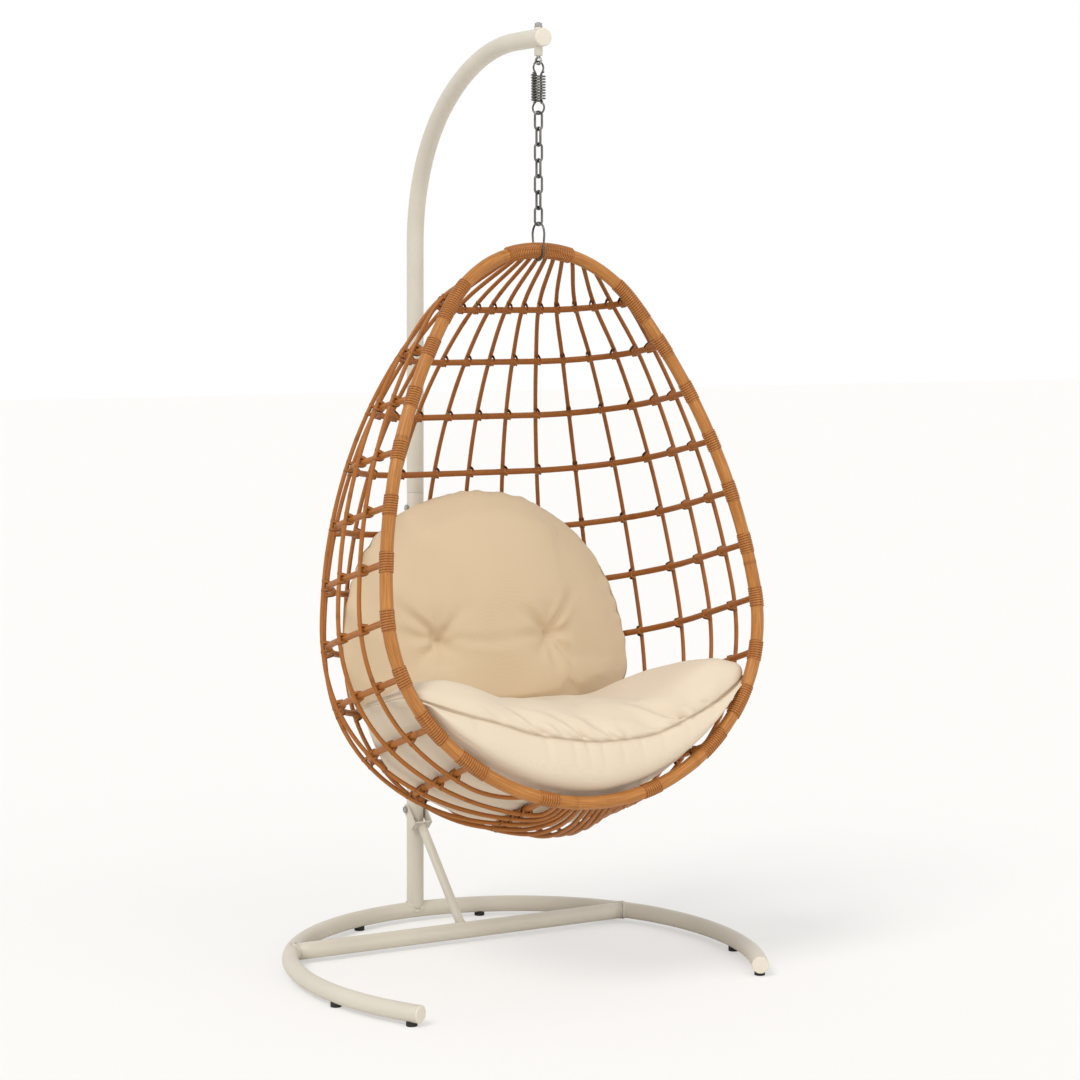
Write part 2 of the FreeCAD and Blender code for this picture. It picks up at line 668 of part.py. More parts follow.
HOOP_DOWN = Vector(0, -sine(size("hoop_tilt")), -cosine(size("hoop_tilt")))
HOOP_BACK = Vector(0, cosine(size("hoop_tilt")), -sine(size("hoop_tilt")))
HOOP_TOP = hang(0, 0, HOOP_TOP_Z)


def hoop_arcs():
    """Right half of the hoop, as (centre x, centre s, radius, start heading, turn), s down the hoop."""
    arcs = []
    x = 0.0
    s = 0.0
    heading = 0.0
    for part in ("top", "side", "corner"):
        radius = size(f"hoop_{part}_radius")
        turn = size(f"hoop_{part}_turn")
        centre_x = x - radius * sine(heading)
        centre_s = s + radius * cosine(heading)
        arcs.append((centre_x, centre_s, radius, heading, turn))
        heading += turn
        x = centre_x + radius * sine(heading)
        s = centre_s - radius * cosine(heading)
    radius = x / sine(heading)
    arcs.append((0.0, s + radius * cosine(heading), radius, heading, 180 - heading))
    return arcs


HOOP = hoop_arcs()
HOOP_HALF = sum(math.radians(turn) * radius for _, _, radius, _, turn in HOOP)
HOOP_LENGTH = HOOP[-1][1] + HOOP[-1][2]


def hoop_at(along):
    """Half width, distance down and heading of the hoop, a given length from its top."""
    for centre_x, centre_s, radius, heading, turn in HOOP:
        length = math.radians(turn) * radius
        if along <= length + 1e-9 or (centre_x, radius) == (HOOP[-1][0], HOOP[-1][2]):
            angle = heading + math.degrees(along / radius)
            return centre_x + radius * sine(angle), centre_s - radius * cosine(angle), angle
        along -= length


def hoop_point(x, s):
    return HOOP_TOP + X * x + HOOP_DOWN * s


def hoop_path():
    """Closed centreline of the hoop as six tangent arcs in their order."""

    def arc_point(arc, angle, hand):
        centre_x, centre_s, radius = arc[:3]
        return hoop_point(hand * (centre_x + radius * sine(angle)), centre_s - radius * cosine(angle))

    def side_arc(arc, hand):
        start, turn = arc[3:]
        ends = [arc_point(arc, start + turn * share, hand) for share in (0, 0.5, 1)]
        return Part.Arc(*(ends if hand > 0 else reversed(ends))).toShape()

    top, side, corner, bottom = HOOP
    over = Part.Arc(arc_point(top, top[4], -1), arc_point(top, 0, 1), arc_point(top, top[4], 1)).toShape()
    under = Part.Arc(arc_point(bottom, bottom[3], 1), arc_point(bottom, 180, 1),
                     arc_point(bottom, bottom[3], -1)).toShape()
    return [over, side_arc(side, 1), side_arc(corner, 1), under, side_arc(corner, -1), side_arc(side, -1)]


def make_hoop_pole():
    return tube(hoop_path(), size("pole"), HOOP_BACK, POLE_SIDES, True)


def make_top_binding():
    """Sleeve of wound strip round the top of the pole, where the hanger bears."""
    radius = size("hoop_top_radius")
    half = radius * sine(math.degrees(size("binding_half") / radius))
    path = []
    corners = sampled(hoop_path()[:1])
    for before, after in zip(corners, corners[1:]):
        for edge in (-half, half):
            if before.x < edge < after.x:
                path.append(before + (after - before) * ((edge - before.x) / (after.x - before.x)))
        if abs(after.x) < half:
            path.append(after)
    normals = [HOOP_BACK] * len(path)
    inner = rod(path, normals, size("pole") + 2 * GAP, POLE_SIDES)
    return rod(path, normals, size("binding"), POLE_SIDES).cut(inner)


def bowl_profile():
    """Middle section of the bowl, through the rings' centres, as three tangent arcs."""
    heading = size("bowl_start")
    point = HOOP_TOP
    arcs = []
    for part in ("upper", "back"):
        radius = size(f"bowl_{part}_radius")
        turn = size(f"bowl_{part}_turn")
        centre = point - Vector(0, sine(heading), cosine(heading)) * radius
        ends = [centre + Vector(0, sine(heading + turn * share), cosine(heading + turn * share)) * radius
                for share in (0, 0.5, 1)]
        arcs.append(Part.Arc(*ends).toShape())
        heading += turn
        point = ends[-1]
    inward = -Vector(0, sine(heading), cosine(heading))
    chord = hoop_point(0, HOOP_LENGTH) - point
    radius = chord.Length ** 2 / (2 * chord.dot(inward))
    centre = point + inward * radius
    end = chord + point
    middle = centre + unit((point - centre) + (end - centre)) * radius
    if (middle - centre).z > 0:
        middle = centre * 2 - middle
    arcs.append(Part.Arc(point, middle, end).toShape())
    return Part.Wire(arcs)


PROFILE = bowl_profile()


def bowl_section(along):
    """Half width, distance down, depth, corner radius and backward direction of the bowl at a height."""
    half_width, down, _ = hoop_at(along)
    fall = size("hoop_tilt") + size("ring_slope") + size("ring_slope_gain") * down / 1000
    back = Vector(0, cosine(fall), -sine(fall))
    start = hoop_point(0, down)
    ray = Part.LineSegment(start + back * 5, start + back * 2000).toShape()
    pairs = ray.distToShape(PROFILE)[1]
    depth = (pairs[0][1] - start).Length
    return half_width, down, depth, min(size("ring_corner") * half_width, depth * 0.9), back


def outline_place(section, share, inset=0.0):
    """Point of a section's U at a share of its half length, from 0 at the back to 1 at the hoop."""
    half_width, down, depth, corner, back = section
    flat = half_width - corner
    bend = corner * math.pi / 2
    length = abs(share) * (flat + bend + depth - corner)
    if length <= flat:
        x, d, out_x, out_d = length, depth, 0.0, 1.0
    elif length <= flat + bend:
        angle = (length - flat) / corner
        out_x, out_d = math.sin(angle), math.cos(angle)
        x = flat + corner * out_x
        d = depth - corner + corner * out_d
    else:
        x, d, out_x, out_d = half_width, depth - corner - (length - flat - bend), 1.0, 0.0
    x -= inset * out_x
    d -= inset * out_d
    return hoop_point(math.copysign(x, share), down) + back * d


def half_length(section):
    half_width, _, depth, corner, _ = section
    return half_width + depth - (2 - math.pi / 2) * corner


def outward(along, share):
    """Bowl's outward normal."""
    above = bowl_section(along - 2)
    here = bowl_section(along)
    below = bowl_section(along + 2)
    down = outline_place(below, share) - outline_place(above, share)
    step = 0.01
    across = outline_place(here, share + step) - outline_place(here, share - step)
    return unit(across.cross(down))


RING_ALONG = [size("first_ring") + size("ring_spacing") * index for index in range(int(size("ring_count")) - 1)]
RING_ALONG.append(HOOP_HALF - size("last_ring"))
POLE_CORNER = size("pole") / 2 / cosine(180 / POLE_SIDES)
CORNER_FACETS = 6


def make_ring(along):
    """U-shaped rod from the hoop round the back of the bowl and to the hoop again."""
    section = bowl_section(along)
    half_width, _, depth, corner, _ = section
    length = half_length(section)
    start = 1 - (POLE_CORNER + GAP) / length
    shares = [start]
    for step in range(CORNER_FACETS + 1):
        shares.append((half_width - corner + corner * math.pi / 2 * (1 - step / CORNER_FACETS)) / length)
    shares += [-share for share in reversed(shares)]
    points = [outline_place(section, share) for share in shares]
    normals = [outward(along, share) for share in shares]
    return rod(points, normals, size("ring_rod"))


def seat_on_pole(along, hand, toward, rod_corner):
    """Point beside the pole where a rod's end bears on it, on the side of another point."""
    half_width, down, heading = hoop_at(along)
    centre = hoop_point(hand * half_width, down)
    tangent = X * (hand * cosine(heading)) + HOOP_DOWN * sine(heading)
    away = toward - centre
    lean = abs(unit(away).dot(tangent))
    square = unit(away - tangent * away.dot(tangent))
    surface = BINDING_CORNER if along < size("binding_half") + 2 * rod_corner else POLE_CORNER
    return centre + square * (surface + GAP + rod_corner * lean)


def make_rib(number):
    """Rod from the top binding, outside every ring, to the bottom of the hoop.

    The ribs' upper ends stand half a spacing off the middle, so that the hanger's wire passes between two.
    """
    share = number / (RIB_HALF + 1)
    hand = -1 if number < 0 else 1
    place = abs(number)
    offset = (size("ring_rod") + size("rib_rod")) / 2 + size("crossing_gap")
    corner = size("rib_rod") / 2 / cosine(30)
    rings = RING_ALONG if place < RIB_HALF else RING_ALONG[:-1]
    stations = list(rings[:7])
    for before, after in zip(rings[6:-1], rings[7:]):
        parts = 3 if after - before > 1.3 * size("ring_spacing") else 2
        stations += [before + (after - before) * step / parts for step in range(1, parts + 1)]
    normals = [outward(along, share) for along in stations]
    points = [outline_place(bowl_section(along), share) + normal * offset
              for along, normal in zip(stations, normals)]
    top_place = abs(number + 0.5)
    top_along = size("rib_top_spacing") * top_place * (1 + size("rib_fan") * top_place ** 2)
    top = seat_on_pole(top_along, 1 if number >= 0 else -1, points[0], corner)
    bottom_along = size("rib_bottom_spacing") * place if place < RIB_HALF else size("outer_rib_bottom")
    last = points[-1]
    bottom = seat_on_pole(HOOP_HALF - bottom_along, hand, last, corner)
    guide = last + unit(last - points[-2]) * ((bottom - last).Length * 0.5)
    for part in (1 / 3, 2 / 3, 1):
        points.append(last * (1 - part) ** 2 + guide * (2 * part * (1 - part)) + bottom * part ** 2)
        normals.append(normals[-1])
    return rod([top] + points, [normals[0]] + normals, size("rib_rod"))


# Cushions

INNER = size("ring_rod") / 2 + size("seat_gap")


def make_seat_cushion():
    """Thick pad that fills the bottom of the bowl and bulges out at the front."""
    levels = []
    for along, at_back, at_flank, bulge in SEAT_LEVELS:
        section = bowl_section(along)
        length = half_length(section)
        limit = 1 - 45 / length
        points = []
        for index in range(17):
            place = 1 - index / 8
            off_bowl = INNER + size("ring_edge") + at_back + (at_flank - at_back) * math.sqrt(abs(place))
            points.append(outline_place(section, limit * place, off_bowl))
        first = points[0]
        last = points[-1]
        for index in range(1, 8):
            across = index / 8
            lift = 4 * across * (1 - across) * (45 + bulge)
            points.append(last * (1 - across) + first * across - section[4] * lift)
        levels.append(points)
    return faceted_solid(levels)


def make_back_cushion():
    """Pad that leans on the back of the bowl, full in the middle and drawn in at its edges."""
    levels = []
    for along, reach, thick in BACK_LEVELS:
        section = bowl_section(along)
        length = half_length(section)
        points = []
        for index in range(13):
            share = reach / length * (1 - index / 6)
            points.append(outline_place(section, share, INNER + abs(index - 6)))
        for index in range(1, 12):
            across = index / 6 - 1
            depth = thick * (1 - abs(across) ** 2.6)
            from_tuft = math.hypot(abs(across * reach) - size("tuft_side"), along - size("tuft_along"))
            depth -= size("tuft_depth") * math.exp(-(from_tuft / size("tuft_reach")) ** 2)
            points.append(outline_place(section, across * reach / length, INNER + 8 + depth))
        levels.append(points)
    return faceted_solid(levels)


# Document

def front_of_hoop():
    bottom = hoop_point(0, HOOP_LENGTH)
    return bottom.y - POLE_CORNER


SHIFT = Placement(Vector(0, -(front_of_hoop() + BACK_Y + size("base_tube") / 2) / 2, 0), Rotation())
POST_SEAT = "(sizes.post_tube / 2)"
CHEEK_SEAT = "(sizes.post_tube / 2 + sizes.clearance + sizes.bracket_plate)"


def add(name, shape):
    """Put a finished shape in the document."""
    item = doc.addObject("Part::Feature", name)
    item.Shape = shape
    item.Placement = SHIFT
    return item


ring = add("base_ring", make_base_ring())
bar = make_cross_bar(ring)
nodes = [
    ring,
    bar,
    add("ring_end_caps", make_ring_end_caps()),
    make_rubber_feet(ring),
    make_lower_post(ring),
    add("upper_arm", make_upper_arm()),
    add("arm_end_cap", make_arm_end_cap()),
    *make_bolt_and_nut("post_joint", JOINT_BOLT_Z, size("post_tube") / 2, POST_SEAT),
    make_brace_bracket(),
    make_brace(bar),
    *make_bolt_and_nut("brace", BRACE_Z, CHEEK_X + size("bracket_plate"), CHEEK_SEAT),
    make_hanger_sleeve(),
    add("eye_bolt", make_eye_bolt()),
    make_top_washer(),
    make_top_nut(),
    add("spring_upper_bar", drawbar(UPPER_LOOP_Z, COIL_BOTTOM - HOOK_GAP, size("spring_turn"))),
    add("spring_coil", make_spring_coil()),
    add("spring_lower_bar", drawbar(LOWER_LOOP_Z, COIL_TOP + HOOK_GAP, size("spring_turn") + 90)),
    add("hanger_loop", make_hanger_loop()),
    add("hoop_pole", make_hoop_pole()),
    add("top_binding", make_top_binding()),
    add("seat_cushion", make_seat_cushion()),
    add("back_cushion", make_back_cushion()),
]
nodes += [add(f"chain_link_{link}", make_link(link)) for link in range(1, LINKS + 1)]
nodes += [add(f"ring_{number:02d}", make_ring(along)) for number, along in enumerate(RING_ALONG, start=1)]
nodes += [add(f"rib_{place + RIB_HALF + 1:02d}", make_rib(place)) for place in range(-RIB_HALF, RIB_HALF + 1)]
doc.recompute()

for item in doc.Objects:
    if "Invalid" in item.State or "Error" in item.State:
        raise RuntimeError(f"{item.Name} failed: {item.State}")
os.makedirs("parts", exist_ok=True)
for node in nodes:
    node.Label = node.Name
    if node.Shape.isNull() or not node.Shape.isValid():
        raise RuntimeError(f"{node.Label} has no valid shape")
    node.Shape.exportStep(f"parts/{node.Label}.step")
print(f"{len(nodes)} nodes")
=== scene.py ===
"""Looks of a hanging egg chair: rattan basket, chain and spring, bent tube stand and two cushions.

Everything is in metres in the CAD frame: +Z up, +Y to the post, the sitter faces -Y.
"""
import math

import bpy
import numpy as np
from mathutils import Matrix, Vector


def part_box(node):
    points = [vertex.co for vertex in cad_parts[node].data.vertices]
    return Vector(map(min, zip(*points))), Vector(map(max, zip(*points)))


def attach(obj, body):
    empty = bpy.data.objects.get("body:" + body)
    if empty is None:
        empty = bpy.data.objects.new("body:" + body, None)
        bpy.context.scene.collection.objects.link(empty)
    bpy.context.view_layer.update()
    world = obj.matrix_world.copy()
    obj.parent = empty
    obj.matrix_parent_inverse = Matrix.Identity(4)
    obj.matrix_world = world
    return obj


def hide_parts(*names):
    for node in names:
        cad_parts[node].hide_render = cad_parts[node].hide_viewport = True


bl_info = {
    "name": "Hanging egg chair",
    "version": (1, 0, 0),
    "blender": (4, 5, 0),
    "location": "View3D > Sidebar > Egg Chair",
    "description": "Dresses the CAD frame of a hanging rattan egg chair",
    "category": "Object",
}

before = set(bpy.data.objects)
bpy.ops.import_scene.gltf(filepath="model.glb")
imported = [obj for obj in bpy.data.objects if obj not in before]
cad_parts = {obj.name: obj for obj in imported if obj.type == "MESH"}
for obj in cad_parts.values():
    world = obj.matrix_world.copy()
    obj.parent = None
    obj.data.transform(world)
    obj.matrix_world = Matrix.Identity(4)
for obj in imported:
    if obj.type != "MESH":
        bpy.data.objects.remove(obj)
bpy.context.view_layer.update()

# Sizes of the frame, in metres and radians; a bend is its radius and its turn in degrees

X = np.array([1.0, 0.0, 0.0])
Y = np.array([0.0, 1.0, 0.0])
Z = np.array([0.0, 0.0, 1.0])
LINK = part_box("chain_link_1")
HANG_Y = float(LINK[0].y + LINK[1].y) / 2
SHIFT_Y = HANG_Y + 0.066
STAND_TUBE = 0.0175
POST_TUBE = 0.019
BRACE_TUBE = 0.010
RING_SIDE = 0.590
RING_BACK = 0.470
RING_STEP = 0.030
RING_MOUTH = 0.300
BAR_BEHIND = 0.268
BASE_Z = 0.007 + STAND_TUBE
BAR_Y = SHIFT_Y + BAR_BEHIND
BAR_REACH = math.sqrt(RING_BACK**2 - (BAR_BEHIND - RING_STEP)**2)
POST_Y = SHIFT_Y + 0.500
JOINT_Z = 0.960
BEND_RADIUS = 0.380
CROOK_RADIUS = 0.520
BEND_TURN = 50
BEND_Z = 1.519
ARM_Z = (BEND_Z + BEND_RADIUS * math.sin(math.radians(BEND_TURN))
         + CROOK_RADIUS * (1 - math.sin(math.radians(BEND_TURN))))
SLEEVE_DROP = 0.037
EYE_Z = ARM_Z - SLEEVE_DROP - 0.017
SPRING_WIRE = 0.002
UPPER_LOOP_Z = EYE_Z + 0.0057
LOWER_LOOP_Z = UPPER_LOOP_Z - 0.1086
SPRING_Z = (UPPER_LOOP_Z + LOWER_LOOP_Z) / 2
COIL_LENGTH = 0.054
SPRING_RADIUS = 0.0135
SPRING_TURNS = 9.5
FIRST_LINK_Z = LOWER_LOOP_Z + 0.0055
LINK_PITCH = 0.0327
LINKS = 7
HANGER_Z = FIRST_LINK_Z - LINKS * LINK_PITCH
HOOP_TOP = np.array([0.0, HANG_Y, HANGER_Z - 0.0577])
HOOP_BENDS = ((0.260, 54.6), (1.169, 31.9), (0.357, 46.2))
TILT = math.radians(13)
DOWN = np.array([0.0, -math.sin(TILT), -math.cos(TILT)])
BACK = np.array([0.0, math.cos(TILT), -math.sin(TILT)])
PROFILE_HEADING = 38.4
PROFILE_BENDS = ((0.838, 35.8), (1.029, 27.2))
TOP_LEAN = math.radians(7.25)
LEAN_PER_METRE = math.radians(13.82)
POLE = 0.0135
RING_ROD = 0.0065
RIB_ROD = 0.0045
RIB_OFFSET = RING_ROD + RIB_ROD + 0.0006
INNER = RING_ROD + 0.0003


def linear(screen):
    """Linear colour of a screen colour from 0 to 255, by the sRGB curve."""
    steps = np.asarray(screen, float) / 255
    return tuple(np.where(steps <= 0.04045, steps / 12.92, ((steps + 0.055) / 1.055) ** 2.4).tolist())


def length(name, description, default):
    """Property that holds a small length."""
    return bpy.props.FloatProperty(name=name, description=description, default=default, min=0.0, precision=5,
                                   unit="LENGTH")


def tint(name, description, screen):
    """Property that holds a colour."""
    return bpy.props.FloatVectorProperty(name=name, description=description, default=linear(screen), min=0.0,
                                         max=1.0, size=3, subtype="COLOR")


class EggChairSizes(bpy.types.PropertyGroup):
    """Sizes of the chair's finish."""

    strip_pitch: length("Strip pitch", "Width of one turn of the strip wound round the pole", 0.0051)
    strip_height: length("Strip height", "How far a turn of strip stands up between its grooves", 0.0013)
    lashing_width: length("Lashing width", "Width of the strip lashed round each crossing", 0.0064)
    link_wire: length("Link wire", "Diameter of the chain's wire", 0.0050)
    seam_depth: length("Seam depth", "Depth of the cushions' seams", 0.0028)
    tuft_depth: length("Tuft depth", "Depth of the back cushion's tufts", 0.025)
    pleat_depth: length("Pleat depth", "Depth of the pleats above the seat cushion's seam", 0.0125)
    pressure: bpy.props.FloatProperty(name="Filling", description="Air pressure in the cushions' simulation",
                                      default=4.0, min=0.5, max=10.0)


class EggChairColours(bpy.types.PropertyGroup):
    """Colours of the chair's finishes."""

    pole: tint("Pole", "Lacquered pole of the hoop", (186, 128, 67))
    rod: tint("Rods", "Rings and ribs of the basket", (177, 114, 51))
    strip: tint("Strip", "Strip wound round the pole and the crossings", (183, 121, 61))
    seat: tint("Seat cloth", "Canvas of the seat cushion", (227, 213, 192))
    # The same canvas as the seat, darker: painted shade of the bowl round the back cushion
    back: tint("Back cloth", "Canvas of the back cushion", (221, 200, 169))
    paint: tint("Stand paint", "Powder coat of the stand", (208, 202, 188))
    plug: tint("Plugs", "Plastic of the tube plugs", (222, 214, 199))
    zinc: tint("Zinc plate", "Plating of the bolts and nuts", (172, 170, 166))
    chain: tint("Chain steel", "Polished steel of the chain, spring and hanger", (112, 109, 105))
    rubber: tint("Feet", "Rubber of the feet", (26, 26, 27))


def unit(vectors):
    """Vectors with length 1, along the last axis."""
    return vectors / np.maximum(np.linalg.norm(vectors, axis=-1, keepdims=True), 1e-12)


def softstep(value):
    """Smooth step from 0 to 1: 3 t^2 - 2 t^3 with t held between 0 and 1."""
    t = np.clip(value, 0, 1)
    return t * t * (3 - 2 * t)


def power(value, exponent):
    """Signed power."""
    return np.sign(value) * np.abs(value) ** exponent


def hoop_arcs():
    """Right half of the hoop as centre x, centre s, radius, heading, turn and length of four tangent arcs."""
    rows = []
    x = s = heading = 0.0
    for radius, turn in HOOP_BENDS:
        turn = math.radians(turn)
        centre_x = x - radius * math.sin(heading)
        centre_s = s + radius * math.cos(heading)
        rows.append((centre_x, centre_s, radius, heading, turn, radius * turn))
        heading += turn
        x = centre_x + radius * math.sin(heading)
        s = centre_s - radius * math.cos(heading)
    radius = x / math.sin(heading)
    turn = math.pi - heading
    rows.append((0.0, s + radius * math.cos(heading), radius, heading, turn, radius * turn))
    return np.array(rows)


HOOP = hoop_arcs()
HOOP_ENDS = np.cumsum(HOOP[:, 5])
HOOP_HALF = HOOP_ENDS[-1]
HOOP_LENGTH = HOOP[-1, 1] + HOOP[-1, 2]


def hoop_at(along):
    """Half width, distance down and heading of the hoop at lengths from its top."""
    along = np.asarray(along, float)
    index = np.clip(np.searchsorted(HOOP_ENDS, along), 0, 3)
    row = HOOP[index]
    angle = row[..., 3] + (along - (HOOP_ENDS[index] - row[..., 5])) / row[..., 2]
    return row[..., 0] + row[..., 2] * np.sin(angle), row[..., 1] - row[..., 2] * np.cos(angle), angle


def hoop_line(along):
    """Points of the hoop's centreline; a negative length is on the left."""
    half, down, _ = hoop_at(np.abs(along))
    return HOOP_TOP + X * (np.sign(along) * half)[:, None] + DOWN * down[:, None]


def bowl_profile():
    """Middle line of the bowl in y and z: three tangent arcs from the hoop's top to its bottom."""
    points = []
    heading = math.radians(PROFILE_HEADING)
    point = HOOP_TOP[1:]
    for radius, turn in PROFILE_BENDS:
        turn = math.radians(turn)
        centre = point - radius * np.array([math.sin(heading), math.cos(heading)])
        angle = heading + np.linspace(0, turn, 400)
        arc = centre + radius * np.stack([np.sin(angle), np.cos(angle)], 1)
        points.append(arc[:-1])
        heading += turn
        point = arc[-1]
    inward = -np.array([math.sin(heading), math.cos(heading)])
    chord = (HOOP_TOP + DOWN * HOOP_LENGTH)[1:] - point
    radius = chord @ chord / (2 * chord @ inward)
    centre = point + inward * radius
    turn = 2 * math.asin(np.linalg.norm(chord) / (2 * radius))
    angle = heading + np.linspace(0, turn, 600)
    points.append(centre + radius * np.stack([np.sin(angle), np.cos(angle)], 1))
    return np.concatenate(points)


PROFILE = bowl_profile()


def bowl_table():
    """Length, half width, down, depth, corner radius and fall of the bowl's sections, in even steps."""
    rows = []
    for along in np.linspace(0.05, HOOP_HALF - 0.03, 300):
        half, down, _ = hoop_at(along)
        fall = TILT - TOP_LEAN + LEAN_PER_METRE * down
        back = np.array([math.cos(fall), -math.sin(fall)])
        offset = PROFILE - (HOOP_TOP + DOWN * down)[1:]
        side = offset[:, 0] * back[1] - offset[:, 1] * back[0]
        reach = offset @ back
        hits = np.nonzero((side[:-1] * side[1:] <= 0) & (reach[:-1] > 0.004))[0]
        hit = hits[np.argmax(reach[hits])]
        share = side[hit] / (side[hit] - side[hit + 1])
        depth = reach[hit] * (1 - share) + reach[hit + 1] * share
        rows.append((along, half, down, depth, min(0.62 * half, 0.9 * depth), fall))
    return np.array(rows)


BOWL = bowl_table()


def section(along):
    """Half width, down, depth, corner radius and fall of the bowl at lengths down the pole."""
    return [np.interp(along, BOWL[:, 0], BOWL[:, k]) for k in range(1, 6)]


def bowl_point(along, reach, inset=0.0):
    """Points of the bowl by the length down the pole, the signed length round the section's U and an inset.

    The U is a flat back, a quarter circle and a straight side that ends at the hoop.
    """
    along, reach, inset = np.broadcast_arrays(np.asarray(along, float), reach, inset)
    half, down, depth, corner, fall = section(along)
    length = np.abs(reach)
    flat = half - corner
    bend = corner * math.pi / 2
    angle = np.clip((length - flat) / corner, 0, math.pi / 2)
    out_x, out_d = np.sin(angle), np.cos(angle)
    straight = np.maximum(length - flat - bend, 0)
    x = np.minimum(length, flat) + corner * out_x - inset * out_x
    d = depth - corner + corner * out_d - straight - inset * out_d
    back = np.stack([0 * fall, np.cos(fall), -np.sin(fall)], -1)
    return HOOP_TOP + (np.sign(reach) * x)[..., None] * X + down[..., None] * DOWN + d[..., None] * back


def half_length(along):
    """Length of a section's U from its middle to the hoop."""
    half, _, depth, corner, _ = section(along)
    return half + depth - (2 - math.pi / 2) * corner


def bowl_outward(along, share):
    """Outward normals of the bowl at shares of the U's half length."""
    def place(a, s):
        return bowl_point(a, s * half_length(a))
    down = place(along + 0.002, share) - place(along - 0.002, share)
    across = place(along, share + 0.01) - place(along, share - 0.01)
    return unit(np.cross(across, down))


FIRST_RING = 0.245
RING_PITCH = 0.113
LAST_RING_UP = 0.120
RING_ALONG = np.append(FIRST_RING + RING_PITCH * np.arange(10), HOOP_HALF - LAST_RING_UP)
RIBS = range(-7, 8)
OUTER_RIB = 7

# Meshes


def put(name, made, finish, body, *nodes):
    """Smooth piece from vertices, faces and attributes that rides on a body and stands for its CAD nodes."""
    points, faces, attributes = made
    mesh = bpy.data.meshes.new(name)
    mesh.from_pydata(points.tolist(), [], faces)
    if len(mesh.polygons) != len(faces):
        raise RuntimeError(f"{name}: the mesh lost faces")
    mesh.polygons.foreach_set("use_smooth", np.ones(len(mesh.polygons), bool))
    for key, values in attributes.items():
        set_attribute(mesh, key, values)
    mesh.materials.append(FINISHES[finish])
    mesh.update()
    piece = bpy.data.objects.new(name, mesh)
    bpy.context.scene.collection.objects.link(piece)
    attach(piece, body)
    if nodes:
        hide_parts(*nodes)
    return piece


def set_attribute(mesh, key, values):
    """Store one number or vector for each vertex."""
    kind, field = ("FLOAT_VECTOR", "vector") if values.ndim == 2 else ("FLOAT", "value")
    layer = mesh.attributes.get(key) or mesh.attributes.new(key, kind, "POINT")
    layer.data.foreach_set(field, values.astype(np.float32).ravel())


def join(parts):
    """One set of vertices, faces and attributes from several."""
    points, faces, extra = [], [], {}
    count = 0
    for part_points, part_faces, attributes in parts:
        points.append(part_points)
        faces += [[corner + count for corner in face] for face in part_faces]
        for key, values in attributes.items():
            extra.setdefault(key, []).append(values)
        count += len(part_points)
    return np.concatenate(points), faces, {key: np.concatenate(values) for key, values in extra.items()}


def lengths_along(path):
    """Length from a path's start to each of its points."""
    return np.concatenate([[0], np.cumsum(np.linalg.norm(np.diff(path, axis=0), axis=1))])


def round_angles(count):
    """Even angles of a full turn."""
    return np.arange(count) * 2 * math.pi / count


def loop_tangent(path):
    """Directions of a closed path."""
    return unit(np.roll(path, -1, 0) - np.roll(path, 1, 0))


def square_to(tangent, vectors):
    """Vectors turned square to the tangents."""
    return unit(vectors - tangent * (vectors * tangent).sum(1, keepdims=True))


def grid_faces(rows, columns, closed_rows, closed_columns):
    """Quads of a grid of vertices in row order."""
    r = np.arange(rows if closed_rows else rows - 1)[:, None]
    c = np.arange(columns if closed_columns else columns - 1)[None, :]
    here, below = r * columns, (r + 1) % rows * columns
    corners = np.broadcast_arrays(here + c, here + (c + 1) % columns, below + (c + 1) % columns, below + c)
    return np.stack(corners, -1).reshape(-1, 4).tolist()


def end_fans(sides, count):
    """Triangles that close a tube's two ends round two vertices that follow its count of them."""
    last = count - sides
    first_fan = [[(k + 1) % sides, k, count] for k in range(sides)]
    return first_fan + [[last + k, last + (k + 1) % sides, count + 1] for k in range(sides)]


def rounded_ends(path, radius, tangent, normal, edge):
    """The stations of a bar whose two ends are rounded by a quarter circle of the edge's radius."""
    turn = np.linspace(0, math.pi / 2, 5)
    lift = edge * (1 - np.cos(turn))[:, None]
    fall = edge * (1 - np.sin(turn))
    reach = np.minimum(np.linalg.norm(path - path[0], axis=1), np.linalg.norm(path - path[-1], axis=1))
    keep = reach > edge

    def with_ends(values):
        return np.concatenate([np.repeat(values[:1], 5, 0), values[keep], np.repeat(values[-1:], 5, 0)])
    stations = np.concatenate([path[0] + tangent[0] * lift, path[keep], path[-1] - tangent[-1] * lift[::-1]])
    radii = np.concatenate([radius[0] - fall, radius[keep], radius[-1] - fall[::-1]])
    return stations, radii, with_ends(tangent), with_ends(normal)


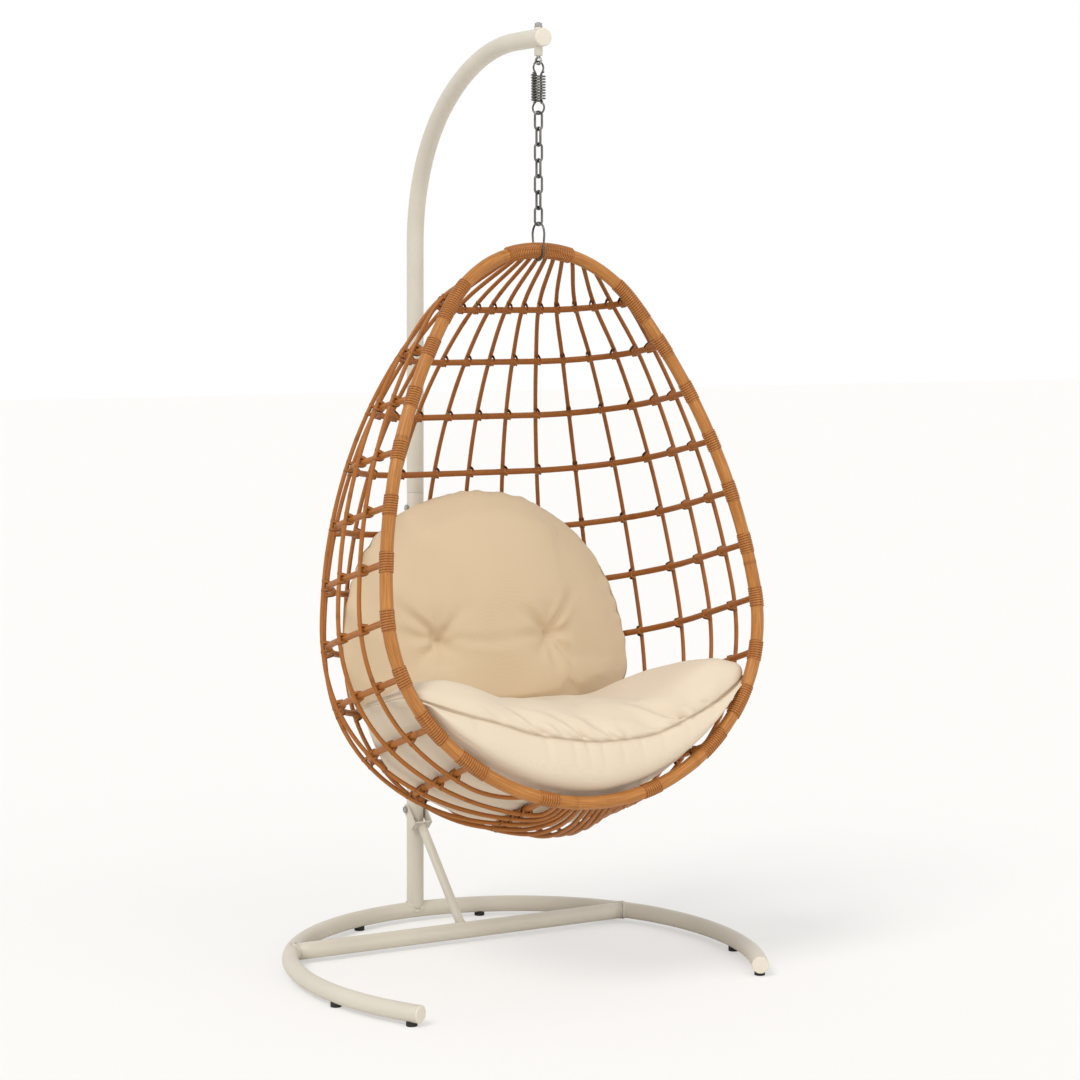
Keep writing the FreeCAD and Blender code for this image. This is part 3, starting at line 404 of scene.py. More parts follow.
def tube(path, radius, normal, sides=20, closed=False, edge=0.0, ridge=None):
    """Round bar along a path.

    Each ring of vertices is path + radius (cos t n + sin t b); the grain attribute holds the unrolled place.
    """
    path = np.asarray(path, float)
    radius = np.broadcast_to(np.asarray(radius, float), len(path))
    normal = np.broadcast_to(np.asarray(normal, float), path.shape)
    if closed:
        tangent = loop_tangent(path)
    else:
        tangent = unit(np.gradient(path, axis=0))
        if edge:
            path, radius, tangent, normal = rounded_ends(path, radius, tangent, normal, edge)
    normal = square_to(tangent, normal)
    binormal = np.cross(tangent, normal)
    angle = round_angles(sides)
    along = lengths_along(path)
    spread = np.broadcast_to(radius[:, None], (len(path), sides))
    # Painted shade in the ridge's grooves; 0 where there is no ridge
    crease_shade = np.zeros((len(path), sides))
    if ridge is not None:
        spread, crease_shade = ridge(along[:, None], angle[None, :], spread)
    ring = np.cos(angle)[None, :, None] * normal[:, None] + np.sin(angle)[None, :, None] * binormal[:, None]
    points = (path[:, None] + spread[..., None] * ring).reshape(-1, 3)
    unrolled = np.broadcast_arrays(0.01 * np.cos(angle), 0.01 * np.sin(angle), along[:, None])
    grain = np.stack(unrolled, -1).reshape(-1, 3)
    crease_shade = crease_shade.ravel()
    faces = grid_faces(len(path), sides, closed, True)
    if not closed:
        faces += end_fans(sides, len(points))
        points = np.concatenate([points, path[:1], path[-1:]])
        grain = np.concatenate([grain, [[0, 0, 0]], [[0, 0, along[-1]]]])
        crease_shade = np.append(crease_shade, [0, 0])
    return points, [face[::-1] for face in faces], {"grain": grain, "crease_shade": crease_shade}


def lathe(profile, centre, axis, sides=32):
    """Turned piece: (radius, height) pairs spun round an axis, closed at both ends."""
    profile = np.asarray(profile, float)
    axis = unit(np.asarray(axis, float))
    side = unit(np.cross(axis, X if abs(axis[0]) < 0.8 else Y))
    other = np.cross(axis, side)
    angle = round_angles(sides)
    ring = np.cos(angle)[:, None] * side + np.sin(angle)[:, None] * other
    points = (centre + profile[:, :1, None] * ring + profile[:, 1:, None] * axis).reshape(-1, 3)
    faces = grid_faces(len(profile), sides, False, True) + end_fans(sides, len(points))
    points = np.concatenate([points, [centre + axis * profile[0, 1], centre + axis * profile[-1, 1]]])
    return points, faces, {"grain": points.copy(), "crease_shade": np.zeros(len(points))}


def smooth_path(points, step):
    """Cubic through the points with even spacing; tangents come from the neighbours."""
    points = np.asarray(points, float)
    knots = lengths_along(points)
    slopes = np.gradient(points, knots, axis=0)
    where = np.linspace(0, knots[-1], max(int(knots[-1] / step), 2) + 1)
    index = np.clip(np.searchsorted(knots, where, side="right") - 1, 0, len(knots) - 2)
    width = (knots[index + 1] - knots[index])[:, None]
    t = (where - knots[index])[:, None] / width
    return ((2 * t**3 - 3 * t**2 + 1) * points[index] + (t**3 - 2 * t**2 + t) * width * slopes[index]
            + (-2 * t**3 + 3 * t**2) * points[index + 1] + (t**3 - t**2) * width * slopes[index + 1])


def arc(centre, radius, side, up, first, last, count):
    """Points of an arc in the plane of side and up."""
    angle = np.radians(np.linspace(first, last, count))[:, None]
    return centre + radius * (np.cos(angle) * side + np.sin(angle) * up)


def wound(pitch, height, phase=0.0):
    """Ridge for wound strip: each turn is a low dome, and a narrow groove parts it from the next; the
    groove's value also paints shade in it.
    """
    def ridge(along, angle, spread):
        place = np.abs(2 * np.mod(along / pitch - angle / (2 * math.pi) + phase, 1.0) - 1)
        groove = place**4
        return spread + height * (0.55 * (1 - place**2) + 0.45 - groove), groove
    return ridge


# Finishes

FINISHES = {}


def tree_of(name):
    """New node material, its tree and its shader."""
    material = bpy.data.materials.new(name)
    material.use_nodes = True
    tree = material.node_tree
    return material, tree, tree.nodes["Principled BSDF"]


def feed(tree, node, inputs):
    """Link the inputs that come from a socket, and set the others."""
    for key, value in inputs.items():
        if isinstance(value, bpy.types.NodeSocket):
            tree.links.new(value, node.inputs[key])
        else:
            node.inputs[key].default_value = value
    return node


def add(tree, kind, inputs=None, **settings):
    """New node with its inputs and settings."""
    node = tree.nodes.new(kind)
    for key, value in settings.items():
        setattr(node, key, value)
    return feed(tree, node, inputs or {})


def object_place(tree):
    """Socket of the place on the object."""
    return add(tree, "ShaderNodeTexCoord").outputs["Object"]


def mixed(tree, factor, first, second):
    """Colour socket of a mix of two colours."""
    return add(tree, "ShaderNodeMix", {0: factor, 6: first, 7: second}, data_type="RGBA").outputs[2]


def ramp(tree, factor, low, high, strength=1.0):
    """Linear step of a 0 to 1 signal between two of its values, up to a strength."""
    node = add(tree, "ShaderNodeMapRange", {"Value": factor, "From Min": low, "From Max": high,
                                            "To Max": strength})
    return node.outputs[0]


def noise(tree, place, scale, detail, rough=0.5):
    """Socket of a noise pattern."""
    return add(tree, "ShaderNodeTexNoise", {"Vector": place, "Scale": scale, "Detail": detail,
                                            "Roughness": rough}).outputs["Fac"]


def between(tree, signal, low, high):
    """Socket of a 0 to 1 signal spread between two values."""
    return add(tree, "ShaderNodeMapRange", {"Value": signal, "To Min": low, "To Max": high}).outputs[0]


def bumps(tree, height, strength, distance):
    """Socket of normals bent by a height."""
    inputs = {"Height": height, "Strength": strength, "Distance": distance}
    return add(tree, "ShaderNodeBump", inputs).outputs[0]


def shade(colour, *gains):
    """RGBA of a linear colour times one gain, or a gain for each channel."""
    gains = gains if len(gains) == 3 else gains * 3
    return (*(c * g for c, g in zip(colour, gains)), 1.0)


def rattan(name, colour, gloss):
    """Lacquered cane: streaks along the grain, blotches, growth rings, and painted shade on the inner side
    and in the grooves.
    """
    material, tree, shader = tree_of(name)
    grain, crease_shade, knot, inside = (add(tree, "ShaderNodeAttribute", attribute_name=key).outputs
                                   for key in ("grain", "crease_shade", "knot", "inside"))
    place = object_place(tree)
    stretched = add(tree, "ShaderNodeMapping", {"Vector": grain["Vector"], "Scale": (1, 1, 0.03)}).outputs[0]
    streaks = noise(tree, stretched, 430.0, 5.0, 0.62)
    fine = noise(tree, stretched, 1500.0, 2.0)
    blotches = noise(tree, place, 13.0, 3.0)
    flecks = noise(tree, place, 210.0, 2.0)
    tone = mixed(tree, ramp(tree, streaks, 0.32, 0.66), shade(colour, 0.62, 0.50, 0.36), shade(colour, 1.10))
    for signal, low, high, strength, gains in (
            (blotches, 0.45, 0.75, 0.70, (0.80, 0.70, 0.56)),
            (fine, 0.56, 0.80, 0.60, (0.52, 0.40, 0.28)),
            (flecks, 0.70, 0.80, 0.60, (0.40, 0.30, 0.20)),
            (knot["Fac"], 0.10, 1.00, 0.50, (0.34, 0.25, 0.16)),
            # Painted shade on the side of a rod that faces into the bowl
            (inside["Fac"], 0.00, 0.90, 0.62, (0.50, 0.37, 0.22)),
            # Painted shade in the strips' grooves, on the lashings' sides and undersides, and where they pass
            # behind
            (crease_shade["Fac"], 0.08, 0.75, 0.94, (0.17, 0.11, 0.06))):
        tone = mixed(tree, ramp(tree, signal, low, high, strength), tone, shade(colour, *gains))
    feed(tree, shader, {"Base Color": tone, "Roughness": between(tree, streaks, gloss, gloss + 0.22),
                        "Normal": bumps(tree, streaks, 0.2, 0.0006), "Specular IOR Level": 0.24,
                        "Coat Weight": 0.05, "Coat Roughness": 0.22})
    return material


def canvas(name, colour):
    """Plain-woven canvas: fine crossed threads, soft blotches, painted shade at the seams and tufts, and a
    little sheen.
    """
    material, tree, shader = tree_of(name)
    place = object_place(tree)
    height = noise(tree, place, 650.0, 2.0)
    for direction in ("X", "Y", "Z"):
        threads = {"Vector": place, "Scale": 240.0, "Distortion": 0.8, "Detail": 1.0, "Detail Scale": 2.0}
        wave = add(tree, "ShaderNodeTexWave", threads, bands_direction=direction)
        height = add(tree, "ShaderNodeMath", {0: height, 1: wave.outputs["Fac"]}, operation="ADD").outputs[0]
    soft = noise(tree, place, 6.0, 3.0)
    crease_shade = add(tree, "ShaderNodeAttribute", attribute_name="crease_shade").outputs["Fac"]
    tone = mixed(tree, ramp(tree, soft, 0.35, 0.7), shade(colour, 1.0), shade(colour, 0.96, 0.95, 0.93))
    tone = mixed(tree, ramp(tree, height, 0.8, 2.6, 0.5), shade(colour, 0.90, 0.88, 0.85), tone)
    # Painted shade where the seams and tufts sink in
    tone = mixed(tree, ramp(tree, crease_shade, 0.0, 1.0), tone, shade(colour, 0.40, 0.31, 0.22))
    feed(tree, shader, {"Base Color": tone, "Normal": bumps(tree, height, 0.16, 0.0005), "Roughness": 0.9,
                        "Specular IOR Level": 0.25, "Sheen Weight": 0.12, "Sheen Roughness": 0.5})
    return material


def powder_coat(name, colour, rough):
    """Powder coat or moulded plastic: satin, with fine orange peel and faint unevenness."""
    material, tree, shader = tree_of(name)
    place = object_place(tree)
    wide = noise(tree, place, 7.0, 2.0)
    tone = mixed(tree, ramp(tree, wide, 0.35, 0.7), shade(colour, 1.0), shade(colour, 0.94))
    peel = noise(tree, place, 520.0, 2.0)
    feed(tree, shader, {"Base Color": tone, "Normal": bumps(tree, peel, 0.12, 0.0004),
                        "Roughness": between(tree, wide, rough, rough + 0.12)})
    return material


def steel(name, colour, rough):
    """Plated or polished steel with faint drawing marks, and darker spots painted into its colour in place of
    dark reflections.
    """
    material, tree, shader = tree_of(name)
    place = object_place(tree)
    marks = noise(tree, place, 900.0, 3.0)
    # Painted reflection: darker spots stand in for the dark surroundings that polished steel would mirror
    dark_reflection_patches = ramp(tree, noise(tree, place, 60.0, 2.0), 0.4, 0.7)
    feed(tree, shader, {"Base Color": mixed(tree, dark_reflection_patches, shade(colour, 1.0), shade(colour, 0.6)),
                        "Roughness": between(tree, marks, rough, rough + 0.15),
                        "Normal": bumps(tree, marks, 0.05, 0.0002), "Metallic": 1.0})
    return material


def make_finishes(colours):
    """Every finish of the chair, by its name."""
    FINISHES.update({
        "pole": rattan("rattan_pole", colours.pole, 0.28),
        "rod": rattan("rattan_rod", colours.rod, 0.32),
        "strip": rattan("rattan_strip", colours.strip, 0.36),
        "seat": canvas("seat_canvas", colours.seat),
        # The back cushion's darker canvas is painted shade
        "back": canvas("back_canvas_shaded", colours.back),
        "paint": powder_coat("stand_paint", colours.paint, 0.38),
        "plug": powder_coat("plug_plastic", colours.plug, 0.45),
        "rubber": powder_coat("foot_rubber", colours.rubber, 0.62),
        "zinc": steel("zinc_plate", colours.zinc, 0.28),
        "chain": steel("chain_steel", colours.chain, 0.16),
    })


# Stand

BRACE_TOP = np.array([0, POST_Y, 0.250])
BRACE_LINE = unit(np.array([0, BAR_Y, BASE_Z]) - BRACE_TOP)
BRACE_START = BRACE_TOP + BRACE_LINE * 0.046


def base_line():
    """Centreline of the ring from its left end round the post to its right end: three tangent arcs."""
    shift = math.sqrt((RING_SIDE - RING_BACK)**2 - RING_STEP**2)
    meet = math.degrees(math.atan2(RING_STEP, shift))
    end = math.degrees(math.asin(RING_MOUTH / RING_SIDE))
    right = arc(np.array([-shift, SHIFT_Y, BASE_Z]), RING_SIDE, X, Y, -end, meet, 40)
    back = arc(np.array([0, SHIFT_Y + RING_STEP, BASE_Z]), RING_BACK, X, Y, meet, 180 - meet, 90)
    left = right[::-1] * np.array([-1, 1, 1])
    return np.concatenate([right[:-1], back[:-1], left])


def rounded_cap(radius, rise, edge):
    """Profile of a plug's cap: a short straight rim and a rounded edge."""
    turn = np.linspace(0.2, 1.57, 7)
    rim = [(radius, 0.0), (radius, rise)]
    return rim + [(radius - edge * (1 - math.cos(a)), rise + edge * math.sin(a)) for a in turn]


def make_base():
    """Base ring with its two plugs and the cross bar."""
    line = base_line()
    put("stand_base_ring", tube(line, STAND_TUBE, Z, 32, edge=0.001), "paint", "stand", "base_ring")
    plugs = []
    for tip, inner in ((line[0], line[1]), (line[-1], line[-2])):
        direction = unit(tip - inner)
        plugs.append(lathe(rounded_cap(STAND_TUBE, 0.0012, 0.0026), tip + direction * 0.0003, direction))
    put("ring_end_plugs", join(plugs), "plug", "stand", "ring_end_caps")
    half = BAR_REACH - 0.012
    bar = np.linspace([-half, BAR_Y, BASE_Z], [half, BAR_Y, BASE_Z], 24)
    put("stand_cross_bar", tube(bar, STAND_TUBE, Z, 32), "paint", "stand", "cross_bar")


def make_post_and_arm():
    """Post, the bent arm above it, the plug in the arm's end and the sleeve through the arm."""
    post = np.linspace([0, POST_Y, BASE_Z + 0.006], [0, POST_Y, JOINT_Z], 12)
    put("stand_lower_post", tube(post, POST_TUBE, X, 36, edge=0.0008), "paint", "stand", "lower_post")
    bend = arc(np.array([0, POST_Y - BEND_RADIUS, BEND_Z]), BEND_RADIUS, Y, Z, 0, BEND_TURN, 40)
    turn = math.radians(BEND_TURN)
    crook_centre = bend[-1] - CROOK_RADIUS * np.array([0, math.cos(turn), math.sin(turn)])
    crook = arc(crook_centre, CROOK_RADIUS, Y, Z, BEND_TURN, 90, 40)
    end = np.array([0, HANG_Y - 0.018, ARM_Z])
    straight = np.linspace([0, POST_Y, JOINT_Z + 0.0003], bend[0], 16)
    arm = np.concatenate([straight[:-1], bend[:-1], crook[:-1], np.linspace(crook[-1], end, 12)])
    put("stand_upper_arm", tube(arm, POST_TUBE, X, 36, edge=0.0008), "paint", "stand", "upper_arm")
    plug = lathe(rounded_cap(POST_TUBE, 0.0016, 0.0034), end - Y * 0.0003, -Y)
    put("arm_end_plug", plug, "plug", "stand", "arm_end_cap")
    sleeve = [(0.0060, 0.0), (0.0082, 0.0), (0.00875, 0.0006), (0.00875, 0.0586), (0.0082, 0.0592)]
    boss = lathe(sleeve, np.array([0, HANG_Y, ARM_Z - SLEEVE_DROP]), Z)
    put("hanger_boss", boss, "paint", "stand", "hanger_sleeve")


def make_brace():
    """Brace from the bracket down to the cross bar."""
    path = np.linspace(BRACE_START, np.array([0, BAR_Y, BASE_Z]) - BRACE_LINE * 0.010, 10)
    put("stand_brace", tube(path, BRACE_TUBE, X, 28), "paint", "stand", "brace")


def bead(path, radius, side):
    """Weld bead: an uneven fillet along a closed path."""
    turn = round_angles(len(path))
    wave = 1 + 0.18 * np.sin(26 * turn) * np.cos(16 * turn)
    return tube(path, radius * wave, side, 10, closed=True)


def cope(start, direction, radius, target, target_axis, target_radius, count=96):
    """Where a round bar meets another: each surface line of the bar, carried on to the other's surface."""
    axis = unit(direction)
    side = unit(np.cross(axis, target_axis))
    other = np.cross(axis, side)
    angle = round_angles(count)
    rim = start + radius * (np.cos(angle)[:, None] * side + np.sin(angle)[:, None] * other)
    offset = rim - target
    flat = offset - (offset @ target_axis)[:, None] * target_axis
    run = axis - (axis @ target_axis) * target_axis
    a, b, c = run @ run, flat @ run, (flat * flat).sum(1) - target_radius**2
    root = np.sqrt(np.maximum(b * b - a * c, 0))
    return rim + ((-b - root) / a)[:, None] * axis


def make_welds():
    """Weld beads round the brace's two ends, the post's foot and the cross bar's ends."""
    grow = 0.0002
    ring = STAND_TUBE + grow
    bar = np.array([0, BAR_Y, BASE_Z])
    foot = np.array([0, POST_Y, BASE_Z])
    welds = [bead(cope(BRACE_START, BRACE_LINE, BRACE_TUBE + grow, bar, X, ring), 0.0022, X),
             bead(cope(foot + Z * 0.2, -Z, POST_TUBE + grow, foot, X, ring), 0.0026, Y)]
    for hand in (-1, 1):
        tangent = unit(np.array([-(BAR_Y - SHIFT_Y - RING_STEP), hand * BAR_REACH, 0]))
        welds.append(bead(cope(bar, X * hand, ring, bar + X * hand * BAR_REACH, tangent, ring), 0.0024, Y))
    collar = arc(BRACE_START, BRACE_TUBE + grow, X, np.cross(BRACE_LINE, X), 0, 354, 60)
    welds.append(bead(collar, 0.0018, BRACE_LINE))
    put("stand_weld_beads", join(welds), "paint", "stand")


def make_fittings():
    """Finishes of the CAD nodes that stay: the feet, the bracket, the bolts, the nuts and the washer."""
    for node, finish in (("rubber_feet", "rubber"), ("brace_bracket", "paint"), ("post_joint_bolt", "zinc"),
                         ("post_joint_nut", "zinc"), ("brace_bolt", "zinc"), ("brace_nut", "zinc"),
                         ("top_nut", "zinc"), ("top_washer", "zinc")):
        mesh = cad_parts[node].data
        mesh.materials.clear()
        mesh.materials.append(FINISHES[finish])


# Hanging gear


def hang(x, y, z):
    """Point on the chain's line, moved by x and y."""
    return np.array([x, HANG_Y + y, z])


def turned(angle):
    """Level direction at an angle from +X, in degrees."""
    return np.array([math.cos(math.radians(angle)), math.sin(math.radians(angle)), 0.0])


def make_eye_bolt():
    """Eye bolt through the sleeve, with its thread."""
    radius = 0.007
    centre = hang(0, 0, EYE_Z + radius)
    line = arc(centre, radius, turned(110), Z, 0, 351, 40)
    eye = tube(line, 0.0025, unit(line - centre), 14, closed=True)
    shank = np.linspace(hang(0, 0, EYE_Z + 2 * radius), hang(0, 0, ARM_Z + POST_TUBE + 0.0137), 60)
    thread = tube(shank, 0.0038, X, 20, edge=0.0007, ridge=wound(0.00125, 0.0002))
    put("eye_bolt_wire", join([eye, thread]), "zinc", "stand", "eye_bolt")


def drawbar(loop_z, far_z, angle):
    """U-shaped wire with a round loop and two hooked legs."""
    side = turned(angle)
    toward = 1 if loop_z > far_z else -1
    loop_wide, loop_tall, leg = 0.0155, 0.013, 0.0086
    centre = loop_z - toward * loop_tall
    half = [(loop_wide * math.sin(a), centre + toward * loop_tall * math.cos(a))
            for a in map(math.radians, range(0, 133, 11))]
    half += [(leg, centre - toward * 0.0124), (leg, (centre + far_z) / 2), (leg, far_z + toward * 0.003),
             (0.0092, far_z + toward * 0.0008), (0.0112, far_z), (0.015, far_z)]
    points = [hang(0, 0, z) - side * across for across, z in reversed(half[1:])]
    points += [hang(0, 0, z) + side * across for across, z in half]
    return tube(smooth_path(points, 0.0012), SPRING_WIRE, turned(angle + 90), 12, edge=0.0006)


def make_spring():
    """Drawbar spring: the upper and lower bar and the coil between their hooks."""
    low, high = SPRING_Z - COIL_LENGTH / 2, SPRING_Z + COIL_LENGTH / 2
    upper, lower = drawbar(UPPER_LOOP_Z, low - 0.0046, 20), drawbar(LOWER_LOOP_Z, high + 0.0046, 110)
    put("spring_bar_upper", upper, "chain", "spring_top", "spring_upper_bar")
    put("spring_bar_lower", lower, "chain", "spring_bottom", "spring_lower_bar")
    turn = np.linspace(0, SPRING_TURNS, int(SPRING_TURNS * 32) + 1)
    angle = turn * 2 * math.pi + math.radians(20)
    outward = np.stack([np.cos(angle), np.sin(angle), 0 * angle], 1)
    coil = hang(0, 0, low) + SPRING_RADIUS * outward + Z * (COIL_LENGTH * turn / SPRING_TURNS)[:, None]
    wire = tube(coil, SPRING_WIRE, outward, 12, edge=0.0005)
    put("spring_coil_wire", wire, "chain", "spring_top", "spring_coil")


def racetrack(top, high, low, high_radius, low_radius, flat):
    """Closed line of two half circles, the upper and the lower, and the straight wires between them."""
    lean = math.degrees(math.asin((high_radius - low_radius) / (high - low)))
    upper = arc(hang(0, 0, high), high_radius, flat, Z, -lean, 180 + lean, 27)
    lower = arc(hang(0, 0, low), low_radius, flat, Z, 180 + lean, 360 - lean, 27)
    return np.concatenate([upper, np.linspace(upper[-1], lower[0], 8)[1:-1], lower,
                           np.linspace(lower[-1], upper[0], 8)[1:-1]])


def make_chain(sizes):
    """Seven links, each turned a quarter from the last; a link is a pitch and a wire long inside."""
    radius = 0.0082
    tall = LINK_PITCH + sizes.link_wire + 0.0001
    drop = (0.0385 - tall) / 2
    for number in range(1, LINKS + 1):
        flat = X if number % 2 else Y
        top = FIRST_LINK_Z - LINK_PITCH * (number - 1) - drop
        path = racetrack(top, top - radius, top - tall + radius, radius, radius, flat)
        wire = tube(path, sizes.link_wire / 2, np.cross(flat, Z), 14, closed=True)
        put(f"chain_link_wire_{number}", wire, "chain", f"link_{number}", f"chain_link_{number}")


def make_hanger():
    """Pear-shaped wire from the last link round the top binding."""
    high = 0.0245
    path = racetrack(HANGER_Z, HANGER_Z - high, HOOP_TOP[2], high, 0.0203, Y)
    put("hanger_wire", tube(path, 0.00225, X, 14, closed=True), "chain", "hanger", "hanger_loop")


# Basket

BINDING_HALF = 0.075
BINDING_RADIUS = 0.0170
LONG_GAP = 0.147
RIB_TOP_PITCH = 0.0173
RIB_BOTTOM_PITCH = 0.015
OUTER_RIB_END = 0.142


def cane(path, radius, normal, sides, seed, closed=False, spacing=0.24):
    """Cane rod: its radius wanders by a percent and swells at growth rings; inside holds painted shade on its
    inner side.
    """
    along = lengths_along(path)
    phase = np.mod(along / spacing + seed * 0.37, 1.0)
    near = np.exp(-((phase - 0.5) * spacing / 0.0035) ** 2)
    wave = 0.012 * np.sin(along * 31 + seed) + 0.010 * np.sin(along * 74 + 2.1 * seed)
    points, faces, extra = tube(path, radius * (1 + wave + 0.05 * near), normal, sides, closed)
    ends = [] if closed else [0, 0]
    # Painted shade: 1 on the side of the rod that faces into the bowl, 0 on its outer half
    inner = np.clip(-np.cos(round_angles(sides)), 0, 1)
    extra["knot"] = np.append(np.repeat(near, sides), ends)
    extra["inside"] = np.append(np.tile(inner, len(path)), ends)
    return points, faces, extra


def make_hoop():
    """The pole of the hoop."""
    path = hoop_line(np.linspace(-HOOP_HALF, HOOP_HALF, 481)[:-1])
    points, faces, extra = cane(path, POLE - 0.0002, BACK, 28, 1, closed=True, spacing=0.47)
    extra["inside"] = np.zeros(len(points))
    put("hoop_cane", (points, faces, extra), "pole", "basket", "hoop_pole")


def make_top_binding(sizes):
    """Strip wound over the top of the hoop, where the hanger bears."""
    half, turns = 0.0749, 36
    path = hoop_line(np.linspace(-half, half, turns * 8 + 1))
    made = tube(path, 0.0158, BACK, 32, edge=0.001, ridge=wound(2 * half / turns, sizes.strip_height * 0.85))
    put("top_binding_strip", made, "strip", "basket", "top_binding")


def make_rings():
    """Eleven rings round the bowl."""
    for number, along in enumerate(RING_ALONG, start=1):
        size = half_length(along)
        tip = size - POLE - 0.0001
        reach = np.linspace(-tip, tip, 141)
        outward = bowl_outward(np.full(len(reach), along), reach / size)
        ring = cane(bowl_point(along, reach), RING_ROD, outward, 16, number)
        put(f"ring_cane_{number:02d}", ring, "rod", "basket", f"ring_{number:02d}")


def pole_binding(middle, turns, sizes):
    """Strip wound round the pole about a place on it."""
    half = turns * sizes.strip_pitch / 2
    path = hoop_line(np.linspace(middle - half, middle + half, turns * 8 + 1))
    ridge = wound(sizes.strip_pitch, sizes.strip_height, middle * 13)
    return tube(path, POLE + 0.0003, BACK, 26, edge=0.0005, ridge=ridge)


def make_ring_bindings(sizes):
    """Strip wound round the pole at both ends of every ring."""
    for number, along in enumerate(RING_ALONG, start=1):
        turns = {1: 19, 9: 14, 10: 13}.get(number, 8)
        ends = [pole_binding(hand * along, turns, sizes) for hand in (-1, 1)]
        put(f"ring_end_bindings_{number:02d}", join(ends), "strip", "basket")


def lashing(centre, across, down, out, seed, width):
    """Strip lashed round a ring and a rib in a figure of eight.

    Its line goes sin 2t across, sin t down the rib and -cos 2t outward, so it crosses itself inside the ring
    and passes behind the rib above and below. Its section is a low dome, with painted shade on its sides,
    its underside and the turns that pass behind.
    """
    count = 28
    t = (np.arange(count) + 0.5) * 2 * math.pi / count
    jitter = 1 + 0.06 * math.sin(seed * 2.3)
    wide, tall, middle, deep = 0.0055 * jitter, 0.0103 / jitter, 0.0048, 0.0113
    back = softstep((0.2 - np.cos(2 * t)) / 0.8)
    side = wide * np.sin(2 * t) * (1 - 0.22 * back)
    rise = tall * power(np.sin(t), 0.8)
    depth = -deep * power(np.cos(2 * t), 0.55) - 0.0004 * np.cos(t)
    line = centre + across * side[:, None] + down * rise[:, None] + out * (middle + depth)[:, None]
    tangent = loop_tangent(line)
    face = across * (side / wide**2)[:, None] + out * (depth / deep**2)[:, None]
    face = square_to(tangent, face)
    flat = np.cross(face, tangent)
    thick = 0.0006
    # The third number of each corner is painted shade: dark underside, half dark sides, light top
    outline = ((-1, -1, 0.8), (1, -1, 0.8), (1, 0.3, 0.42), (0, 1, 0), (-1, 0.3, 0.42))
    points = np.stack([line + flat * (a * width / 2) + face * (b * thick) for a, b, _ in outline], 1)
    # Painted shade on the turns that pass behind the ring and the rib
    behind = softstep((middle + depth) / 0.008)
    crease_shade = np.maximum([dark for _, _, dark in outline], 0.22 * behind[:, None])
    grain = np.stack(np.broadcast_arrays([0.0, 0.002, 0.002, 0.001, 0.0], 0.0, 0.007 * t[:, None]), -1)
    faces = [corners[::-1] for corners in grid_faces(count, len(outline), True, True)]
    return points.reshape(-1, 3), faces, {"grain": grain.reshape(-1, 3), "crease_shade": crease_shade.ravel()}


def make_lashings(sizes):
    """A strip at every crossing of a ring and a rib."""
    for number, along in enumerate(RING_ALONG, start=1):
        size = half_length(along)
        parts = []
        for rib in RIBS:
            if abs(rib) == OUTER_RIB and number == len(RING_ALONG):
                continue
            share = rib / 8
            reach = share * size
            centre = bowl_point(along, reach)
            across = unit(bowl_point(along, reach + 0.002) - bowl_point(along, reach - 0.002))
            low, high = (bowl_point(a, share * half_length(a)) for a in (along + 0.003, along - 0.003))
            down = unit(low - high)
            out = bowl_outward(along, np.array(share))
            parts.append(lashing(centre, across, down, out, number * 17 + rib, sizes.lashing_width))
        put(f"ring_lashings_{number:02d}", join(parts), "strip", "basket")


def rib_path(number):
    """Points down a rib and their outward normals, from the top binding to the bottom of the hoop."""
    share = number / 8
    hand = -1 if number < 0 else 1
    stations = list(RING_ALONG[:7])
    rings = RING_ALONG if abs(number) < OUTER_RIB else RING_ALONG[:-1]
    for before, after in zip(rings[6:-1], rings[7:]):
        parts = 3 if after - before > LONG_GAP else 2
        stations += [before + (after - before) * step / parts for step in range(1, parts + 1)]
    stations = np.array(stations)
    normals = bowl_outward(stations, np.full(len(stations), share))
    points = bowl_point(stations, share * half_length(stations)) + normals * RIB_OFFSET
    place = abs(number + 0.5)
    top = seat_on_pole(RIB_TOP_PITCH * place * (1 + 0.008 * place**2), hand, points[0])
    up = RIB_BOTTOM_PITCH * abs(number) if abs(number) < OUTER_RIB else OUTER_RIB_END
    last = points[-1]
    bottom = seat_on_pole(HOOP_HALF - up, hand, last)
    guide = last + unit(last - points[-2]) * (np.linalg.norm(bottom - last) * 0.5)
    tail = [last * (1 - t) ** 2 + guide * (2 * t * (1 - t)) + bottom * t**2 for t in (1 / 3, 2 / 3, 1)]
    normals = np.concatenate([normals[:1], normals, np.repeat(normals[-1:], len(tail), 0)])
    return np.concatenate([[top], points, tail]), normals


def seat_on_pole(along, hand, toward):
    """Point beside the pole, or beside the top binding, where a rib's end bears on it."""
    corner = RIB_ROD / math.cos(math.radians(30))
    half, down, heading = hoop_at(along)
    centre = HOOP_TOP + X * (hand * half) + DOWN * down
    tangent = X * (hand * math.cos(heading)) + DOWN * math.sin(heading)
    away = toward - centre
    lean = abs(unit(away) @ tangent)
    square = unit(away - tangent * (away @ tangent))
    surface = BINDING_RADIUS if along < BINDING_HALF + 2 * corner else POLE
    return centre + square * (surface + 0.0003 + corner * lean)


def make_ribs():
    """Fifteen ribs outside the rings."""
    for index, number in enumerate(RIBS, start=1):
        points, normals = rib_path(number)
        path = smooth_path(points, 0.011)
        knots = lengths_along(points)
        where = np.linspace(0, knots[-1], len(path))
        outward = unit(np.stack([np.interp(where, knots, normals[:, k]) for k in range(3)], 1))
        rib = cane(path, RIB_ROD, outward, 12, index + 20)
        put(f"rib_cane_{index:02d}", rib, "rod", "basket", f"rib_{index:02d}")


# Cushions

CUSHION_GRID = 96
LAST_FRAME = 20
CLEAR = 0.006
SEAT_HALF = 0.393
BACK_INSET = INNER + 0.012
BACK_ALONG = 0.964
TUFT_ALONG = 0.915
TUFT_APART = 0.132


